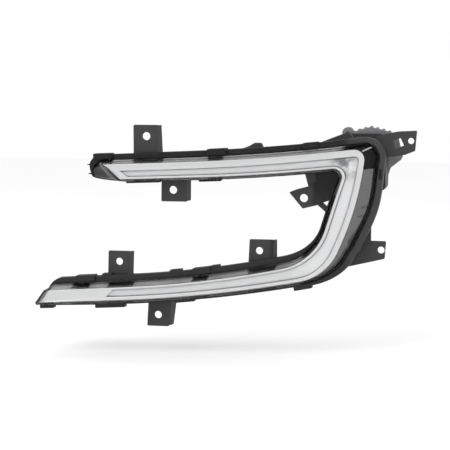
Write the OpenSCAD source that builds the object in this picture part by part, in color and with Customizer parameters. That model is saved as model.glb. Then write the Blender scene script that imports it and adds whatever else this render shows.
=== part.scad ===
// Daytime running light for the outer corner of a car's front bumper.
// Frame: X runs across the car to its outer side, Y to the rear and Z up.
// The origin is the screw hole of the inner corner tab, on the tab's front face.

/* [Light band in plan] */
// Upper arm, from the corner to its tip
upper_arm_l = 256; // [220:1:290]
// Climb of the upper arm from its tip to the corner
upper_arm_rise = 17; // [10:0.5:22]
// Sag of the upper arm below the straight line between its ends
upper_arm_sag = 4; // [1:0.5:8]
// Height of the leg between the corner and the bend
leg_h = 127; // [115:0.5:145]
// How far the bend lies inboard of the corner
leg_lean = 37; // [25:1:45]
// Bulge of the leg outboard of the straight line between its ends
leg_bulge = 9.5; // [4:0.5:12]
// Lower arm, from the bend to its tip
lower_arm_l = 287; // [250:1:320]
// Drop of the lower arm from the bend to its tip
lower_arm_drop = 29.5; // [20:0.5:40]
// Sag of the lower arm below the straight line between its ends
lower_arm_sag = 8; // [4:0.5:14]
// Outer corner radius of the bright band
corner_r = 10; // [8:0.5:14]
// Outer bend radius of the bright band
bend_r = 50; // [44:1:56]
// Radius that wraps the whole lamp back round the car's corner
wrap_r = 1350; // [1100:50:2500]

/* [Light band widths] */
// Band width on the upper arm
upper_band_w = 15.5; // [14:0.5:17]
// Band width on the leg
leg_band_w = 23; // [20:0.5:25]
// Band width in the bend
bend_band_w = 16; // [15:0.5:18]
// Band width on the lower arm
lower_band_w = 13.5; // [12.5:0.5:15]
// Band width at the lower tip
tip_band_w = 12.3; // [11:0.1:15]
// Slant of the upper tip
upper_tip_slant = 16.5; // [8:0.5:20]
// Slant of the lower tip
lower_tip_slant = 9.5; // [4:0.5:14]

/* [Outer lens] */
// Depth of the lens side walls
lens_depth = 20; // [16:0.5:24]
// Wall of the clear lens
lens_t = 1.8; // [1.5:0.1:2.4]
// Clear border of the lens face round the bright band
lens_border = 2.4; // [2:0.1:3]
// Length of the lens foot in the channel
lens_foot = 5; // [3.5:0.5:7]
// How far the side wall splays along the top of the upper arm
top_splay = 3.6; // [3:0.1:5]
// How far the side wall splays under the upper arm
under_splay = 2.2; // [2:0.1:4]
// How far the side wall splays on the outer side of the leg
leg_splay = 10.8; // [8:0.2:13]
// How far the side wall splays on the inner side of the leg
inner_splay = 4.6; // [4:0.2:7]
// How far the side wall splays along the top of the lower arm
ledge_splay = 4.6; // [3.6:0.1:5.4]
// How far the side wall splays under the lower arm
lower_splay = 3.8; // [3:0.1:5]

/* [Bright bezel and light guide] */
// Wall of the metallised bezel
bezel_t = 1; // [0.8:0.1:1.2]
// Air between the lens and the bezel
bezel_gap = 0.8; // [0.4:0.1:1.5]
// Depth of the light channel in the bezel
channel_depth = 6; // [4:0.5:8]
// Flange between the band's outer edge and the channel, on the upper arm
upper_flange_w = 6.8; // [5:0.2:7.4]
// The same flange on the leg
leg_flange_w = 4.6; // [3.8:0.1:6]
// The same flange on the lower arm
lower_flange_w = 3.4; // [3:0.1:5]
// Flange between the channel and the band's inner edge
inner_flange_w = 2.1; // [2:0.1:2.8]
// Thickness of the light guide
guide_t = 3; // [2:0.5:4]
// Air round the light guide
guide_clear = 0.3; // [0.2:0.1:0.5]

/* [Rear housing] */
// Wall of the housing
wall_t = 2.4; // [2:0.1:3]
// Gap between the lens foot and the rim
rim_gap = 0.6; // [0.4:0.1:1]
// Height of the rim round the lens foot
rim_h = 8; // [7:0.5:10]
// Width of the rim along the top of the upper arm
top_rim_w = 5.6; // [4:0.2:6]
// Width of the rim on the outer side of the leg
leg_rim_w = 8.6; // [6:0.2:9]
// Width of the rim where it is narrow
thin_rim_w = 1.4; // [1.2:0.1:2.4]
// Width of the rim along the top of the lower arm
ledge_rim_w = 5.4; // [4:0.2:6]
// Depth of the housing along the arms, from the lens face
arm_depth = 45; // [42:1:50]
// Depth of the housing at the corner, from the lens face
bay_depth = 53; // [52:1:56]

/* [Fixing tabs] */
// Thickness of the tabs
tab_t = 3; // [2.5:0.1:3.6]
// Distance of the tabs' front faces behind the lens face
tab_setback = 28; // [27:0.5:30]
// Radius of the screw holes
tab_hole_r = 4.1; // [3.3:0.1:4.5]
// Thickness of the gussets and ribs
rib_t = 2; // [1.5:0.1:2.6]
// Length of the gussets, front to back
gusset_l = 13; // [9:0.5:15]

/* [LED boards] */
// Thickness of the circuit boards
board_t = 1.6; // [1:0.2:2]
// Depth of the LED boards behind the lens face
board_setback = 21; // [20:0.5:23]
// Radius of the board pillars
pillar_r = 3; // [2.6:0.1:3.4]
// Radius of the screw shanks
screw_r = 1.2; // [1:0.1:1.4]
// Radius of the screw heads
head_r = 2.4; // [2.1:0.1:2.7]
// Width of an LED
led_w = 3; // [2:0.5:4]

/* [Driver unit] */
// Width of the driver case
case_w = 44; // [40:1:50]
// Height of the driver case
case_h = 58; // [52:1:64]
// Depth of the driver case, front to back
case_depth = 22; // [20:1:28]
// Wall of the driver case
case_t = 2; // [1.6:0.1:2.4]
// Base of the heat sink
sink_t = 3; // [2.4:0.2:4]
// Height of the heat sink fins
fin_h = 11; // [8:0.5:15]
// Pitch of the fins
fin_pitch = 6.2; // [5.8:0.1:6.4]
// Thickness of the fins
fin_t = 2; // [1.6:0.1:2.4]
// Thickness of the rubber gasket
gasket_t = 1; // [0.8:0.1:1.4]
// Clearance between pieces that are assembled
fit_gap = 0.15; // [0.1:0.01:0.2]

/* [Hidden] */
$fn = 32;
eps = 0.01;
// corner and bend of the band, seen from the origin in the gap between the arms
corner = [63, 50.9];
bend = corner + [-leg_lean, -leg_h];
upper_tip = corner + [-upper_arm_l, -upper_arm_rise];
lower_tip = bend + [-lower_arm_l, -lower_arm_drop];
upper_mid = corner + 0.43 * (upper_tip - corner) + [0, -upper_arm_sag];
leg_mid = corner + 0.445 * (bend - corner) + [leg_bulge, 0];
lower_mid = bend + 0.41 * (lower_tip - bend) + [0, -lower_arm_sag];
// corners of the sketch of the band's outer edge, and those of its inner edge
outer_sketch = [upper_tip, upper_mid, corner, leg_mid, bend, lower_mid, lower_tip];
edge_last = len(outer_sketch) - 1;
band_w = [upper_band_w - 1.3, upper_band_w, upper_band_w + 1, leg_band_w, bend_band_w, lower_band_w,
  tip_band_w];
inner_sketch = [for (i = [0:edge_last])
  offset_corner(i) + [i == 0 ? upper_tip_slant : i == edge_last ? lower_tip_slant : 0, 0]];
// the two edges with the fillet radius of each corner
outer_edge = swept(outer_sketch, corner_r, bend_r);
inner_edge = swept(inner_sketch, corner_r - 1.5, bend_r + 5);
// number of steps on each stretch of the edges: line, arc, line, arc and so on
steps = [3, 4, 3, 8, 1, 4, 1, 8, 3, 5, 5];
prim_last = len(steps) - 1;
end_s = prim_last + 1;
stations = concat([for (k = [0:prim_last]) for (j = [0:steps[k] - 1]) k + j / steps[k]], [end_s]);
// the section at the twelve ends of those stretches, from the upper tip to the lower tip
splay_out = [top_splay, top_splay, top_splay, top_splay + 0.8, leg_splay - 0.8, leg_splay, leg_splay - 2.6,
  leg_splay - 3, lower_splay + 0.4, lower_splay, lower_splay, lower_splay];
splay_in = [under_splay, under_splay, under_splay, under_splay + 1.2, inner_splay, inner_splay, inner_splay,
  inner_splay, ledge_splay, ledge_splay, ledge_splay, ledge_splay];
// extra splay in the middle of the outer corner, which rounds the rim there
corner_swell = 3.2;
rim_out = [top_rim_w - 0.6, top_rim_w, top_rim_w, top_rim_w, leg_rim_w - 3.6, leg_rim_w - 3.2, leg_rim_w,
  leg_rim_w - 1.2, thin_rim_w + 1.2, thin_rim_w, thin_rim_w, thin_rim_w];
rim_in = [thin_rim_w, thin_rim_w, thin_rim_w, thin_rim_w, thin_rim_w + 0.6, thin_rim_w + 0.6,
  thin_rim_w + 0.6, thin_rim_w + 0.6, ledge_rim_w, ledge_rim_w, ledge_rim_w, ledge_rim_w];
flange_out = [for (k = [0:end_s]) k < 4 ? upper_flange_w : k < 8 ? leg_flange_w : lower_flange_w];
flange_in = [for (k = [0:end_s]) inner_flange_w + (k > 3 && k < 8 ? 0.7 : 0)];
depth_law = [arm_depth, arm_depth, arm_depth, bay_depth, bay_depth, bay_depth, bay_depth, arm_depth + 2,
  arm_depth, arm_depth, arm_depth, arm_depth];
// how far the rounded ends of the lens foot reach past the bright band, from the outer to the inner edge
upper_tip_bulge = [8, 18, 22.5, 26, 24];
lower_tip_bulge = [2, 2.4, 2.4, 2.4, 2];
tip_steps = [0.12, 0.3, 0.5, 0.7, 0.88];
// where the light channel starts on the upper arm and ends on the lower arm
channel_start = 0.135;
channel_end = end_s - 0.77;
// draft of the housing walls from the rim to the floor
draft = 1.5;
// depths behind the lens face
foot_d = lens_depth + lens_foot;
bead_t = 1.5;
ledge_d = foot_d + bead_t;
rim_back_d = lens_depth + rim_h;
neck_d = rim_back_d + 2;
bezel_d = lens_t + bezel_gap;
channel_d = bezel_d + channel_depth;
trim_d = bezel_d + bezel_t + 0.4;
guide_d = channel_d - fit_gap - guide_t;
// inset of the housing's outer side from the lens foot, at the neck
neck_inset = 1.6;
trim_t = 1;
trim_clear = 0.6;
lip_w = 1.2;

// plain helpers
function unit(v) = v / norm(v);
function lerp(a, b, f) = a + (b - a) * f;
function turned(v, a) = [v.x * cos(a) - v.y * sin(a), v.x * sin(a) + v.y * cos(a)];
function plan(p) = [p.x, p.y];

// corner i of the outer edge, moved inwards by the band's width there
function offset_corner(i) =
  let (p = outer_sketch[i],
    before = unit(i == 0 ? outer_sketch[1] - p : p - outer_sketch[i - 1]),
    after = unit(i == edge_last ? p - outer_sketch[i - 1] : outer_sketch[i + 1] - p),
    n1 = [before.y, -before.x],
    n2 = [after.y, -after.x])
  p + (n1 + n2) * band_w[i] / (1 + n1 * n2);

// the long sweeps take the largest fillets that fit between the corner and the bend
function reach(e, i) = 1 / tan(corner_half(e, i));
function sweep_r(e, i, before, after, share) = share / reach(e, i)
  * min(norm(e[i] - e[i - 1]) - before, norm(e[i + 1] - e[i]) - after);
function swept(e, corner_fillet, bend_fillet) =
  let (c = corner_fillet * reach(e, 2), b = bend_fillet * reach(e, 4),
    r = [0, sweep_r(e, 1, 0, c, 0.75), corner_fillet, sweep_r(e, 3, c, b, 0.94), bend_fillet,
      sweep_r(e, 5, b, 0, 0.94), 0])
  [for (i = [0:edge_last]) [e[i].x, e[i].y, r[i]]];

// points of a filleted sketch: the value s counts its lines and arcs from the first point
function side_a(e, i) = unit(plan(e[i - 1]) - plan(e[i]));
function side_b(e, i) = unit(plan(e[i + 1]) - plan(e[i]));
function half_angle(a, b) = acos(max(-1, min(1, a * b))) / 2;
function corner_half(e, i) = half_angle(side_a(e, i), side_b(e, i));
function tangent_l(e, i) = e[i][2] / tan(corner_half(e, i));
function arc_in(e, i) = i == edge_last ? plan(e[i]) : plan(e[i]) + side_a(e, i) * tangent_l(e, i);
function arc_out(e, i) = i == 0 ? plan(e[i]) : plan(e[i]) + side_b(e, i) * tangent_l(e, i);
function fillet_point(p, a, b, r, f) =
  let (half = half_angle(a, b),
    centre = p + unit(a + b) * r / sin(half),
    way = cross(b, a) > 0 ? 1 : -1)
  centre + turned(p + a * r / tan(half) - centre, way * f * (180 - 2 * half));
function arc_point(e, i, f) = fillet_point(plan(e[i]), side_a(e, i), side_b(e, i), e[i][2], f);
function edge_point(e, s) =
  let (k = min(floor(s), prim_last), f = s - k)
  k % 2 == 0 ? lerp(arc_out(e, k / 2), arc_in(e, k / 2 + 1), f) : arc_point(e, (k + 1) / 2, f);

// closed outline with each corner rounded by its own radius
function rounded(e, n = 4) =
  let (m = len(e))
  [for (i = [0:m - 1]) each
    let (p = plan(e[i]), a = unit(plan(e[(i + m - 1) % m]) - p), b = unit(plan(e[(i + 1) % m]) - p))
    e[i][2] == undef || e[i][2] == 0 ? [p] : [for (j = [0:n]) fillet_point(p, a, b, e[i][2], j / n)]];

// value of a section law at station s, eased between its twelve values
function law(values, s) =
  let (k = min(floor(s), prim_last), f = s - k)
  lerp(values[k], values[k + 1], f * f * (3 - 2 * f));

// rib across the band at station s: side 1 is the outer edge and side -1 the inner edge
function rib_dir(s) = unit(edge_point(outer_edge, s) - edge_point(inner_edge, s));
function edge_dir(e, s) = unit(edge_point(e, min(s + 0.01, end_s)) - edge_point(e, max(s - 0.01, 0)));
function stretch(e, s) = 1 / max(0.6, abs(cross(edge_dir(e, s), rib_dir(s))));
function edge_of(side) = side > 0 ? outer_edge : inner_edge;
function splay(s, side) = law(side > 0 ? splay_out : splay_in, s)
  + (side > 0 && s > 3 && s < 4 ? corner_swell * pow(sin(180 * (s - 3)), 2) : 0);
function on_rib(s, side, off) =
  edge_point(edge_of(side), s) + rib_dir(s) * side * off * stretch(edge_of(side), s);
function mid_band(s) = (on_rib(s, 1, splay(s, 1)) + on_rib(s, -1, splay(s, -1))) / 2;

// the lens face at x, wrapped round the car's corner
function face_y(x) =
  ((x - lower_tip.x) * (x - lower_tip.x) - lower_tip.x * lower_tip.x) / (2 * wrap_r) - tab_setback;
function face_turn(x) = atan((x - lower_tip.x) / wrap_r);
function place(p, d) = [p.x, face_y(p.x) + d, p.y];
function floor_y(s, p) = face_y(p.x) + law(depth_law, s);

// station at which an edge passes a given x (axis 0) or z (axis 1)
function station_at(e, v, axis, lo, hi, n = 14) =
  let (mid = (lo + hi) / 2)
  n == 0 ? mid
  : (edge_point(e, mid)[axis] < v) == (edge_point(e, hi)[axis] > edge_point(e, lo)[axis])
    ? station_at(e, v, axis, mid, hi, n - 1) : station_at(e, v, axis, lo, mid, n - 1);
function arm_station(upper, side, x) =
  upper ? station_at(edge_of(side), x, 0, 0, 3) : station_at(edge_of(side), x, 0, 8, end_s);
function leg_station(z) = station_at(outer_edge, z, 1, 3.5, 8);
function leg_inner(z) = station_at(inner_edge, z, 1, 3.5, 8);

// middle of the housing's wall at depth d, where tabs and ribs are rooted
function wall_foot(s, side, d = neck_d) =
  on_rib(s, side, splay(s, side) - neck_inset - wall_t / 2
    - draft * max(0, d - neck_d) / (law(depth_law, s) - neck_d));
// root of a plate whose front is at y: in the wall, or in the rim where the plate meets that
function plate_foot(s, side, y) =
  let (rim = law(side > 0 ? rim_out : rim_in, s),
    in_rim = on_rib(s, side, splay(s, side) + rim_gap + rim / 2))
  y - face_y(in_rim.x) < ledge_d + 0.6 ? in_rim : wall_foot(s, side);

// loop round the whole lamp, at offsets from the band's two edges and a depth behind the lens face
function tip_points(s, off_o, off_i, d, bulge, share, grow) =
  let (a = on_rib(s, 1, off_o), b = on_rib(s, -1, off_i))
  [for (i = [0:len(tip_steps) - 1]) place(lerp(a, b, tip_steps[i]) - [bulge[i] * share + grow, 0], d)];
function loop(off_o, off_i, depth, share, grow, run = stations) =
  let (s0 = run[0], s1 = run[len(run) - 1],
    high = tip_points(s0, off_o(s0), off_i(s0), depth(s0), upper_tip_bulge, share, grow))
  concat(
    [for (s = run) place(on_rib(s, 1, off_o(s)), depth(s))],
    tip_points(s1, off_o(s1), off_i(s1), depth(s1), lower_tip_bulge, share, grow),
    [for (i = [len(run) - 1:-1:0]) place(on_rib(run[i], -1, off_i(run[i])), depth(run[i]))],
    [for (i = [len(high) - 1:-1:0]) high[i]]);
// loop at an offset from the lens foot
function foot_loop(off, d) =
  loop(function(s) splay(s, 1) + off, function(s) splay(s, -1) + off, function(s) d, 1, 1.3 * off);
// loop at an offset from the band's edges, for the lens face and the bezel
function face_loop(off, d, share = 0) =
  loop(function(s) off, function(s) off, function(s) d, share, 1.3 * off);
// loop at the outer side of the rim
function rim_loop(d) =
  loop(function(s) splay(s, 1) + rim_gap + law(rim_out, s),
    function(s) splay(s, -1) + rim_gap + law(rim_in, s), function(s) d, 1, rim_gap + thin_rim_w);
// loop on the housing's floor
function floor_loop(off, up) =
  loop(function(s) splay(s, 1) - neck_inset - draft + off,
    function(s) splay(s, -1) - neck_inset - draft + off,
    function(s) law(depth_law, s) - up, 1, 1.3 * (off - neck_inset - draft));
// stations squeezed between the two ends of the light channel
channel_run = [for (s = stations)
  s < 1 ? lerp(channel_start, 1, s) : s > prim_last ? lerp(prim_last, channel_end, s - prim_last) : s];
function channel_loop(off, d) =
  loop(function(s) -law(flange_out, s) + off, function(s) -law(flange_in, s) + off, function(s) d, 0, off,
    channel_run);

// solid through a stack of loops, capped at both ends or, as a ring, joined end to start
module loft(loops, ring = false, r = len(stations)) {
  n = len(loops[0]);
  m = len(loops);
  t = (n - 2 * r) / 2;
  // each quad is split along its shorter diagonal, so that nested walls stay parallel
  sides = [for (k = [0:m - (ring ? 1 : 2)]) for (i = [0:n - 1]) each
    let (k2 = (k + 1) % m, a = k * n, b = k2 * n, j = (i + 1) % n)
    norm(loops[k][i] - loops[k2][j]) < norm(loops[k][j] - loops[k2][i])
    ? [[a + i, b + j, b + i], [a + i, a + j, b + j]] : [[a + i, a + j, b + i], [a + j, b + j, b + i]]];
  ladder = [for (i = [0:r - 2]) each
    let (j = 2 * r + t - 1 - i)
    [[i, j - 1, i + 1], [i, j, j - 1]]];
  low_fan = [for (i = [0:t - 1]) [r - 1, r + i + 1, r + i]];
  high_fan = [for (i = [0:t - 1]) [0, 2 * r + t + i, 2 * r + t - 1 + i]];
  cap = concat(ladder, t > 0 ? low_fan : [], t > 0 ? high_fan : []);
  caps = ring ? [] : concat(cap, [for (f = cap) [for (v = [2, 1, 0]) f[v] + (m - 1) * n]]);
  polyhedron(points = [for (l = loops) each l], faces = concat(sides, caps), convexity = 10);
}

// outline in the X-Z plane, carried to the rear from y
module along_y(y, l) translate([0, y + l, 0]) rotate([90, 0, 0]) linear_extrude(l) children();
module rod(p, y, l, r) translate([p.x, y, p.y]) rotate([-90, 0, 0]) cylinder(r = r, h = l);
// rod square to the LED boards, from a distance behind their front
module peg(p, from, l, r) translate(place(p, board_setback)) rotate([0, 0, face_turn(p.x)])
  translate([0, from, 0]) rotate([-90, 0, 0]) cylinder(r = r, h = l);
module block(p, size) translate([p.x - size.x / 2, p.y, p.z - size.z / 2]) cube(size);
// rib on plan line a-b behind the plate at y: l deep at a, end_l at b, leaning outwards
module gusset(a, b, y, l, end_l = tab_t + 0.5, lean = 0)
  translate([a.x, y, a.y]) rotate([0, -atan2(b.y - a.y, b.x - a.x), 0]) rotate([lean, 0, 0])
  linear_extrude(rib_t, center = true)
  polygon([[0, 0], [norm(b - a), 0], [norm(b - a), end_l], [0, l]]);

// plate with a screw hole
module tab_plate(outline, hole, y, hole_r = tab_hole_r) difference() {
  along_y(y, tab_t) polygon(rounded(outline));
  rod(hole, y - 1, tab_t + 2, hole_r);
}

// tabs that stand up (1) or hang down (-1) from an arm, with a side wall at the right and a rib at the left:
// is it on the upper arm, which way, hole x, reach of the hole, hole radius,
// left and right at the tip, left and right at the root, past the hole, corner radius at the right
low_hole_r = tab_hole_r - 0.3;
wall_lean = 10;
arm_tabs = [
  [true, 1, -156.1, 25, tab_hole_r, -13, 12.6, -13.2, 12.8, 11.4, 0.8],
  [true, -1, -129.3, 14.4, tab_hole_r - 0.1, -11.9, 13.6, -12, 14, 11.2, 1.5],
  [false, 1, -184.4, 21.4, low_hole_r - 0.1, -11.1, 13.4, -12.1, 11.4, 10.8, 0.8],
  [false, -1, -145, 19.2, low_hole_r, -11.3, 13.5, -9.6, 15.6, 11.6, 3],
  [false, 1, -43.5, 18.2, low_hole_r - 0.1, -9.7, 15, -11.8, 14, 10.2, 0.8]];
function tab_side(t) = t[0] ? t[1] : -t[1];
function tab_y(x) = face_y(x) + tab_setback;
function tab_foot(t, dx) =
  plate_foot(arm_station(t[0], tab_side(t), t[2] + dx), tab_side(t), tab_y(t[2]));
function tab_hole(t) = [t[2], tab_foot(t, 0).y + t[1] * t[3]];
module arm_tab(t) {
  hole = tab_hole(t);
  y = tab_y(hole.x);
  left = tab_foot(t, t[7]);
  right = tab_foot(t, t[8]);
  tip_l = hole + [t[5], t[1] * t[9]];
  tip_r = hole + [t[6], t[1] * t[9]];
  tab_plate(concat([[tip_l.x, tip_l.y, 1], [tip_r.x, tip_r.y, t[10]]],
    [for (f = [1:-0.125:0]) tab_foot(t, lerp(t[7], t[8], f))]), hole, y, t[4]);
  gusset(left + [rib_t / 2, 0], tip_l + [rib_t / 2, -4 * t[1]], y, gusset_l);
  gusset(right - [rib_t / 2, 0], tip_r - [rib_t / 2, t[1] * t[10]], y, gusset_l, gusset_l - 5,
    t[1] * wall_lean);
}

// inner corner tab: its screw hole is the origin, and a block and a brace tie it to the arm and the leg
module corner_tab() {
  roots = [for (s = [5.12, 4.8, 4.4, 4, 3.8, 3.6]) plate_foot(s, -1, 0)];
  tab_plate(concat([[12.4, -7.1, 3], [18.4, -4.5, 1]], roots,
    [[22.2, 19.5, 0], [12.9, 15.9, 0], [5.7, 12.3, 2], [-7.9, 8.5, 3], [-14.9, 5.6, 0.8],
      [-1.2, -10.5, 0.8]]), [0, 0], 0);
  along_y(tab_t - 0.5, 10) polygon([wall_foot(arm_station(true, -1, -0.6), -1), [3.9, 12], [5, 11.8],
    [12.8, 15.3], [12.8, 17.9], wall_foot(arm_station(true, -1, 8), -1)]);
  along_y(tab_t - 0.5, 6) polygon([[12.4, -6], [22.4, -14.5], plate_foot(leg_inner(-16), -1, tab_t - 0.5),
    plate_foot(leg_inner(-11), -1, tab_t - 0.5), [23, -8.6], [17, -3.5]]);
  gusset(plate_foot(4.6, -1, 0), [12, 8], 0.5, rim_h - 2);
}

// tab on the outer side of the leg, with a stiffener above it
leg_tab_hole = corner + [12.3, -103.5];
leg_tab_wall = 4;
module leg_tab() {
  y = tab_y(leg_tab_hole.x) + 3.4;
  high = leg_tab_hole.y + 8.9;
  low = leg_tab_hole.y - 17;
  roots = [for (f = [0:0.25:1]) wall_foot(leg_station(lerp(high, low, f)), 1, neck_d + 3)];
  tab_plate(concat(roots, [leg_tab_hole + [-33, -17.6, 0], leg_tab_hole + [3.6, -8.8],
    leg_tab_hole + [4.9, 8.9]]), leg_tab_hole, y, tab_hole_r - 0.6);
  gusset(roots[0] - [0, rib_t], leg_tab_hole + [3, 9 - rib_t], y, gusset_l - 2);
  gusset(leg_tab_hole + [-22, -14], leg_tab_hole + [2, -8.2], y, gusset_l - 2);
  along_y(y - 1, leg_tab_wall) polygon([wall_foot(leg_station(high + 19), 1, neck_d + 3),
    [leg_tab_hole.x - 10.1, high + 15.2], [leg_tab_hole.x - 10.3, high - 1], roots[1]]);
}

// bracket at the outer corner, with a window and a top flange
bracket_hole = corner + [39.8, 5.4];
window = [[22.3, 5.8], [29.3, 8.1], [32.8, 0.9], [24.4, -2.7]];
flange_l = 10;
flange_t = 2;
module corner_bracket() {
  y = tab_y(bracket_hole.x) + 9;
  roots = [for (s = [4.6, 4.3, 4, 3.8, 3.6, 3.4, 3.2]) wall_foot(s, 1, neck_d + 13)];
  high = corner + [8.7, 11.2];
  mid = corner + [26.7, 14.6];
  far = corner + [45.6, 15.5];
  difference() {
    tab_plate(concat(roots, [high, mid, [far.x, far.y, 0.8], corner + [43.9, -4.5, 0.8],
      corner + [34, -8.6, 4], corner + [25, -10, 4], corner + [15, -11.3, 0]]), bracket_hole, y,
      tab_hole_r - 1);
    along_y(y - 1, tab_t + 2) polygon([for (q = window) corner + q]);
  }
  along_y(y, flange_l) polygon([high, mid, far - [1, 0], far - [1, flange_t], mid - [0, flange_t],
    high - [0, flange_t]]);
}

// snap clips and stops on the rim:
// upper arm, which way, x, length, how far it stands proud, front depth, back depth
rim_clips = [
  [true, 1, -196, 19, 2, 17, 28], [true, 1, -83, 19, 2.4, 16, 28], [true, 1, 8.5, 15, 2.2, 16, 28],
  [true, 1, 42, 7, 3, 16, 28], [true, -1, -160.5, 34, 1.2, 20, 28], [true, -1, -91, 22, 1.6, 20, 28],
  [true, -1, 6, 12, 3.2, 20, 30], [false, 1, -221, 20, 1.5, 17, 28], [false, 1, -199.5, 10, 2.2, 20, 28],
  [false, 1, -100, 22, 1.5, 17, 28], [false, 1, -126, 12, 2, 20, 28], [false, 1, -84, 9, 2, 20, 28],
  [false, 1, -61, 12, 2, 20, 28], [false, -1, -256, 15, 1.8, 20, 28], [false, -1, -190, 34, 2.2, 20, 28],
  [false, -1, -116, 20, 1.6, 20, 28], [false, -1, 8, 18, 1.6, 20, 28]];
module rim_clip(c) {
  side = c[0] ? c[1] : -c[1];
  rim = side > 0 ? rim_out : rim_in;
  s0 = arm_station(c[0], side, c[2]);
  base = on_rib(s0, side, splay(s0, side) + rim_gap);
  dir = edge_dir(edge_of(side), s0);
  out = law(rim, s0) + c[4];
  translate([base.x, face_y(base.x) + c[5], base.y]) rotate([0, -atan2(dir.y, dir.x), 0])
    rotate([0, 0, face_turn(base.x) * sign(dir.x)])
    translate([-c[3] / 2, 0, side > 0 ? 0 : -out])
    cube([c[3], c[6] - c[5], out]);
}

// black moulded tray that carries the lens
module tray() loft([
  floor_loop(0, 0),
  foot_loop(-neck_inset, neck_d),
  rim_loop(rim_back_d),
  rim_loop(lens_depth),
  foot_loop(rim_gap, lens_depth),
  foot_loop(rim_gap, ledge_d),
  foot_loop(-neck_inset - wall_t, ledge_d),
  floor_loop(-wall_t, wall_t)]);

// stiffening ribs across the back of the tray, given by their stations
back_ribs = [0.45, 1.1, 1.6, 2.15, 8.3, 9.1, 9.5, 9.9, 10.35, 10.75];
back_rib_h = 3;
module back_rib(s) {
  a = on_rib(s, 1, splay(s, 1) - neck_inset - draft - wall_t / 2);
  b = on_rib(s, -1, splay(s, -1) - neck_inset - draft - wall_t / 2);
  w = [rib_t / 2, 0];
  along_y(floor_y(s, (a + b) / 2) - wall_t / 2, back_rib_h + wall_t / 2)
    polygon([a - w, a + w, b + w, b - w]);
}

// wedge-shaped lug that stands on top of the upper arm at the back
lug_x = -47;
lug_h = 14;
lug_t = 6;
module upper_lug() {
  foot_a = wall_foot(arm_station(true, 1, lug_x - 31), 1, arm_depth - 3);
  foot_b = wall_foot(arm_station(true, 1, lug_x + 8.5), 1, arm_depth - 3);
  top = wall_foot(arm_station(true, 1, lug_x), 1, arm_depth - 3).y + lug_h;
  along_y(face_y(lug_x) + arm_depth - lug_t - 0.5, lug_t)
    polygon(rounded([foot_a, [lug_x - 8.8, top - 3.1, 4], [lug_x - 3.7, top, 1.5],
      [lug_x + 3.4, top, 3], foot_b]));
}
// wedge behind the corner that carries the ear of the heat sink
boss_c = corner + [-23, 11.5];
boss_web_t = 7;
module corner_boss() {
  foot_a = wall_foot(arm_station(true, 1, boss_c.x - 31), 1, arm_depth - 3);
  foot_b = wall_foot(2.98, 1, arm_depth - 3);
  along_y(face_y(boss_c.x) + arm_depth - boss_web_t + 2, boss_web_t)
    polygon([foot_a, boss_c + [-3, 1.5], boss_c + [2, 3.1], boss_c + [4.1, 0.6], foot_b]);
}

// LED boards: ends on the upper arm (x), down the leg (z) and on the lower arm (x)
board_ends = [[upper_tip.x + 26, corner.x - 18], [corner.y - 26, bend.y + 30],
  [bend.x - 26, lower_tip.x + 76]];
function board_station(i, f) =
  let (v = lerp(board_ends[i][0], board_ends[i][1], f))
  i == 0 ? arm_station(true, 1, v) : i == 1 ? leg_station(v) : arm_station(false, 1, v);
// even numbers of LEDs, with a pillar and its screw between two of them at each end and in the middle
led_counts = [14, 6, 14];
function pillar_shares(i) = [1 / led_counts[i], 0.5, 1 - 1 / led_counts[i]];
all_pillars = [for (i = [0:2]) for (f = pillar_shares(i)) board_station(i, f)];
screw_l = 11;
board_back = board_setback + board_t;
function pillar_end(s) = (law(depth_law, s) - wall_t / 2 - board_setback) * cos(face_turn(mid_band(s).x));
module pillar(s)
  peg(mid_band(s), board_t + fit_gap, pillar_end(s) - board_t - fit_gap, pillar_r);
module pillar_bore(s) peg(mid_band(s), board_t, screw_l, screw_r + fit_gap);

// driver unit behind the corner bay
case_c = corner + [-8.5, -17];
case_y = face_y(case_c.x + case_w / 2) + bay_depth + 1;
case_back = case_y + case_depth;
case_posts = [for (i = [-1, 1]) for (j = [-1, 1]) case_c + [i * (case_w / 2 - 5), j * (case_h / 2 - 5)]];
case_bosses = [case_c + [-9, -14], case_c + [7, -14], case_c + [-9, 11], case_c + [8, 11]];
case_boss_r = 4;
case_screw_r = 1.6;
case_screw_l = 8;
wire_hole = case_c + [0, -2];
wire_hole_r = 5;

// plinth walls between the bay's sloping back and the driver case
plinth_half = 14;
plinth_low = -21;
plinth_high = 15;
module plinth() {
  x0 = case_c.x - plinth_half;
  x1 = case_c.x + plinth_half;
  y0 = face_y(x0) + bay_depth - wall_t / 2;
  y1 = face_y(x1) + bay_depth - wall_t / 2;
  mid_z = case_c.y + (plinth_low + plinth_high) / 2;
  plinth_h = plinth_high - plinth_low;
  for (z = [plinth_low, plinth_high - wall_t]) translate([0, 0, case_c.y + z])
    linear_extrude(wall_t) polygon([[x0, y0], [x1, y1], [x1, case_y], [x0, case_y]]);
  block([x0 + wall_t / 2, y0, mid_z], [wall_t, case_y - y0, plinth_h]);
  block([x1 - wall_t / 2, y1, mid_z], [wall_t, case_y - y1, plinth_h]);
}

// breather spigot on the back of the lower arm
breather_s = 9.7;
breather_c = mid_band(breather_s);
breather_y = floor_y(breather_s, breather_c);
spigot_r = 5.5;
spigot_l = 5;
spigot_bore_r = 3.5;

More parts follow.
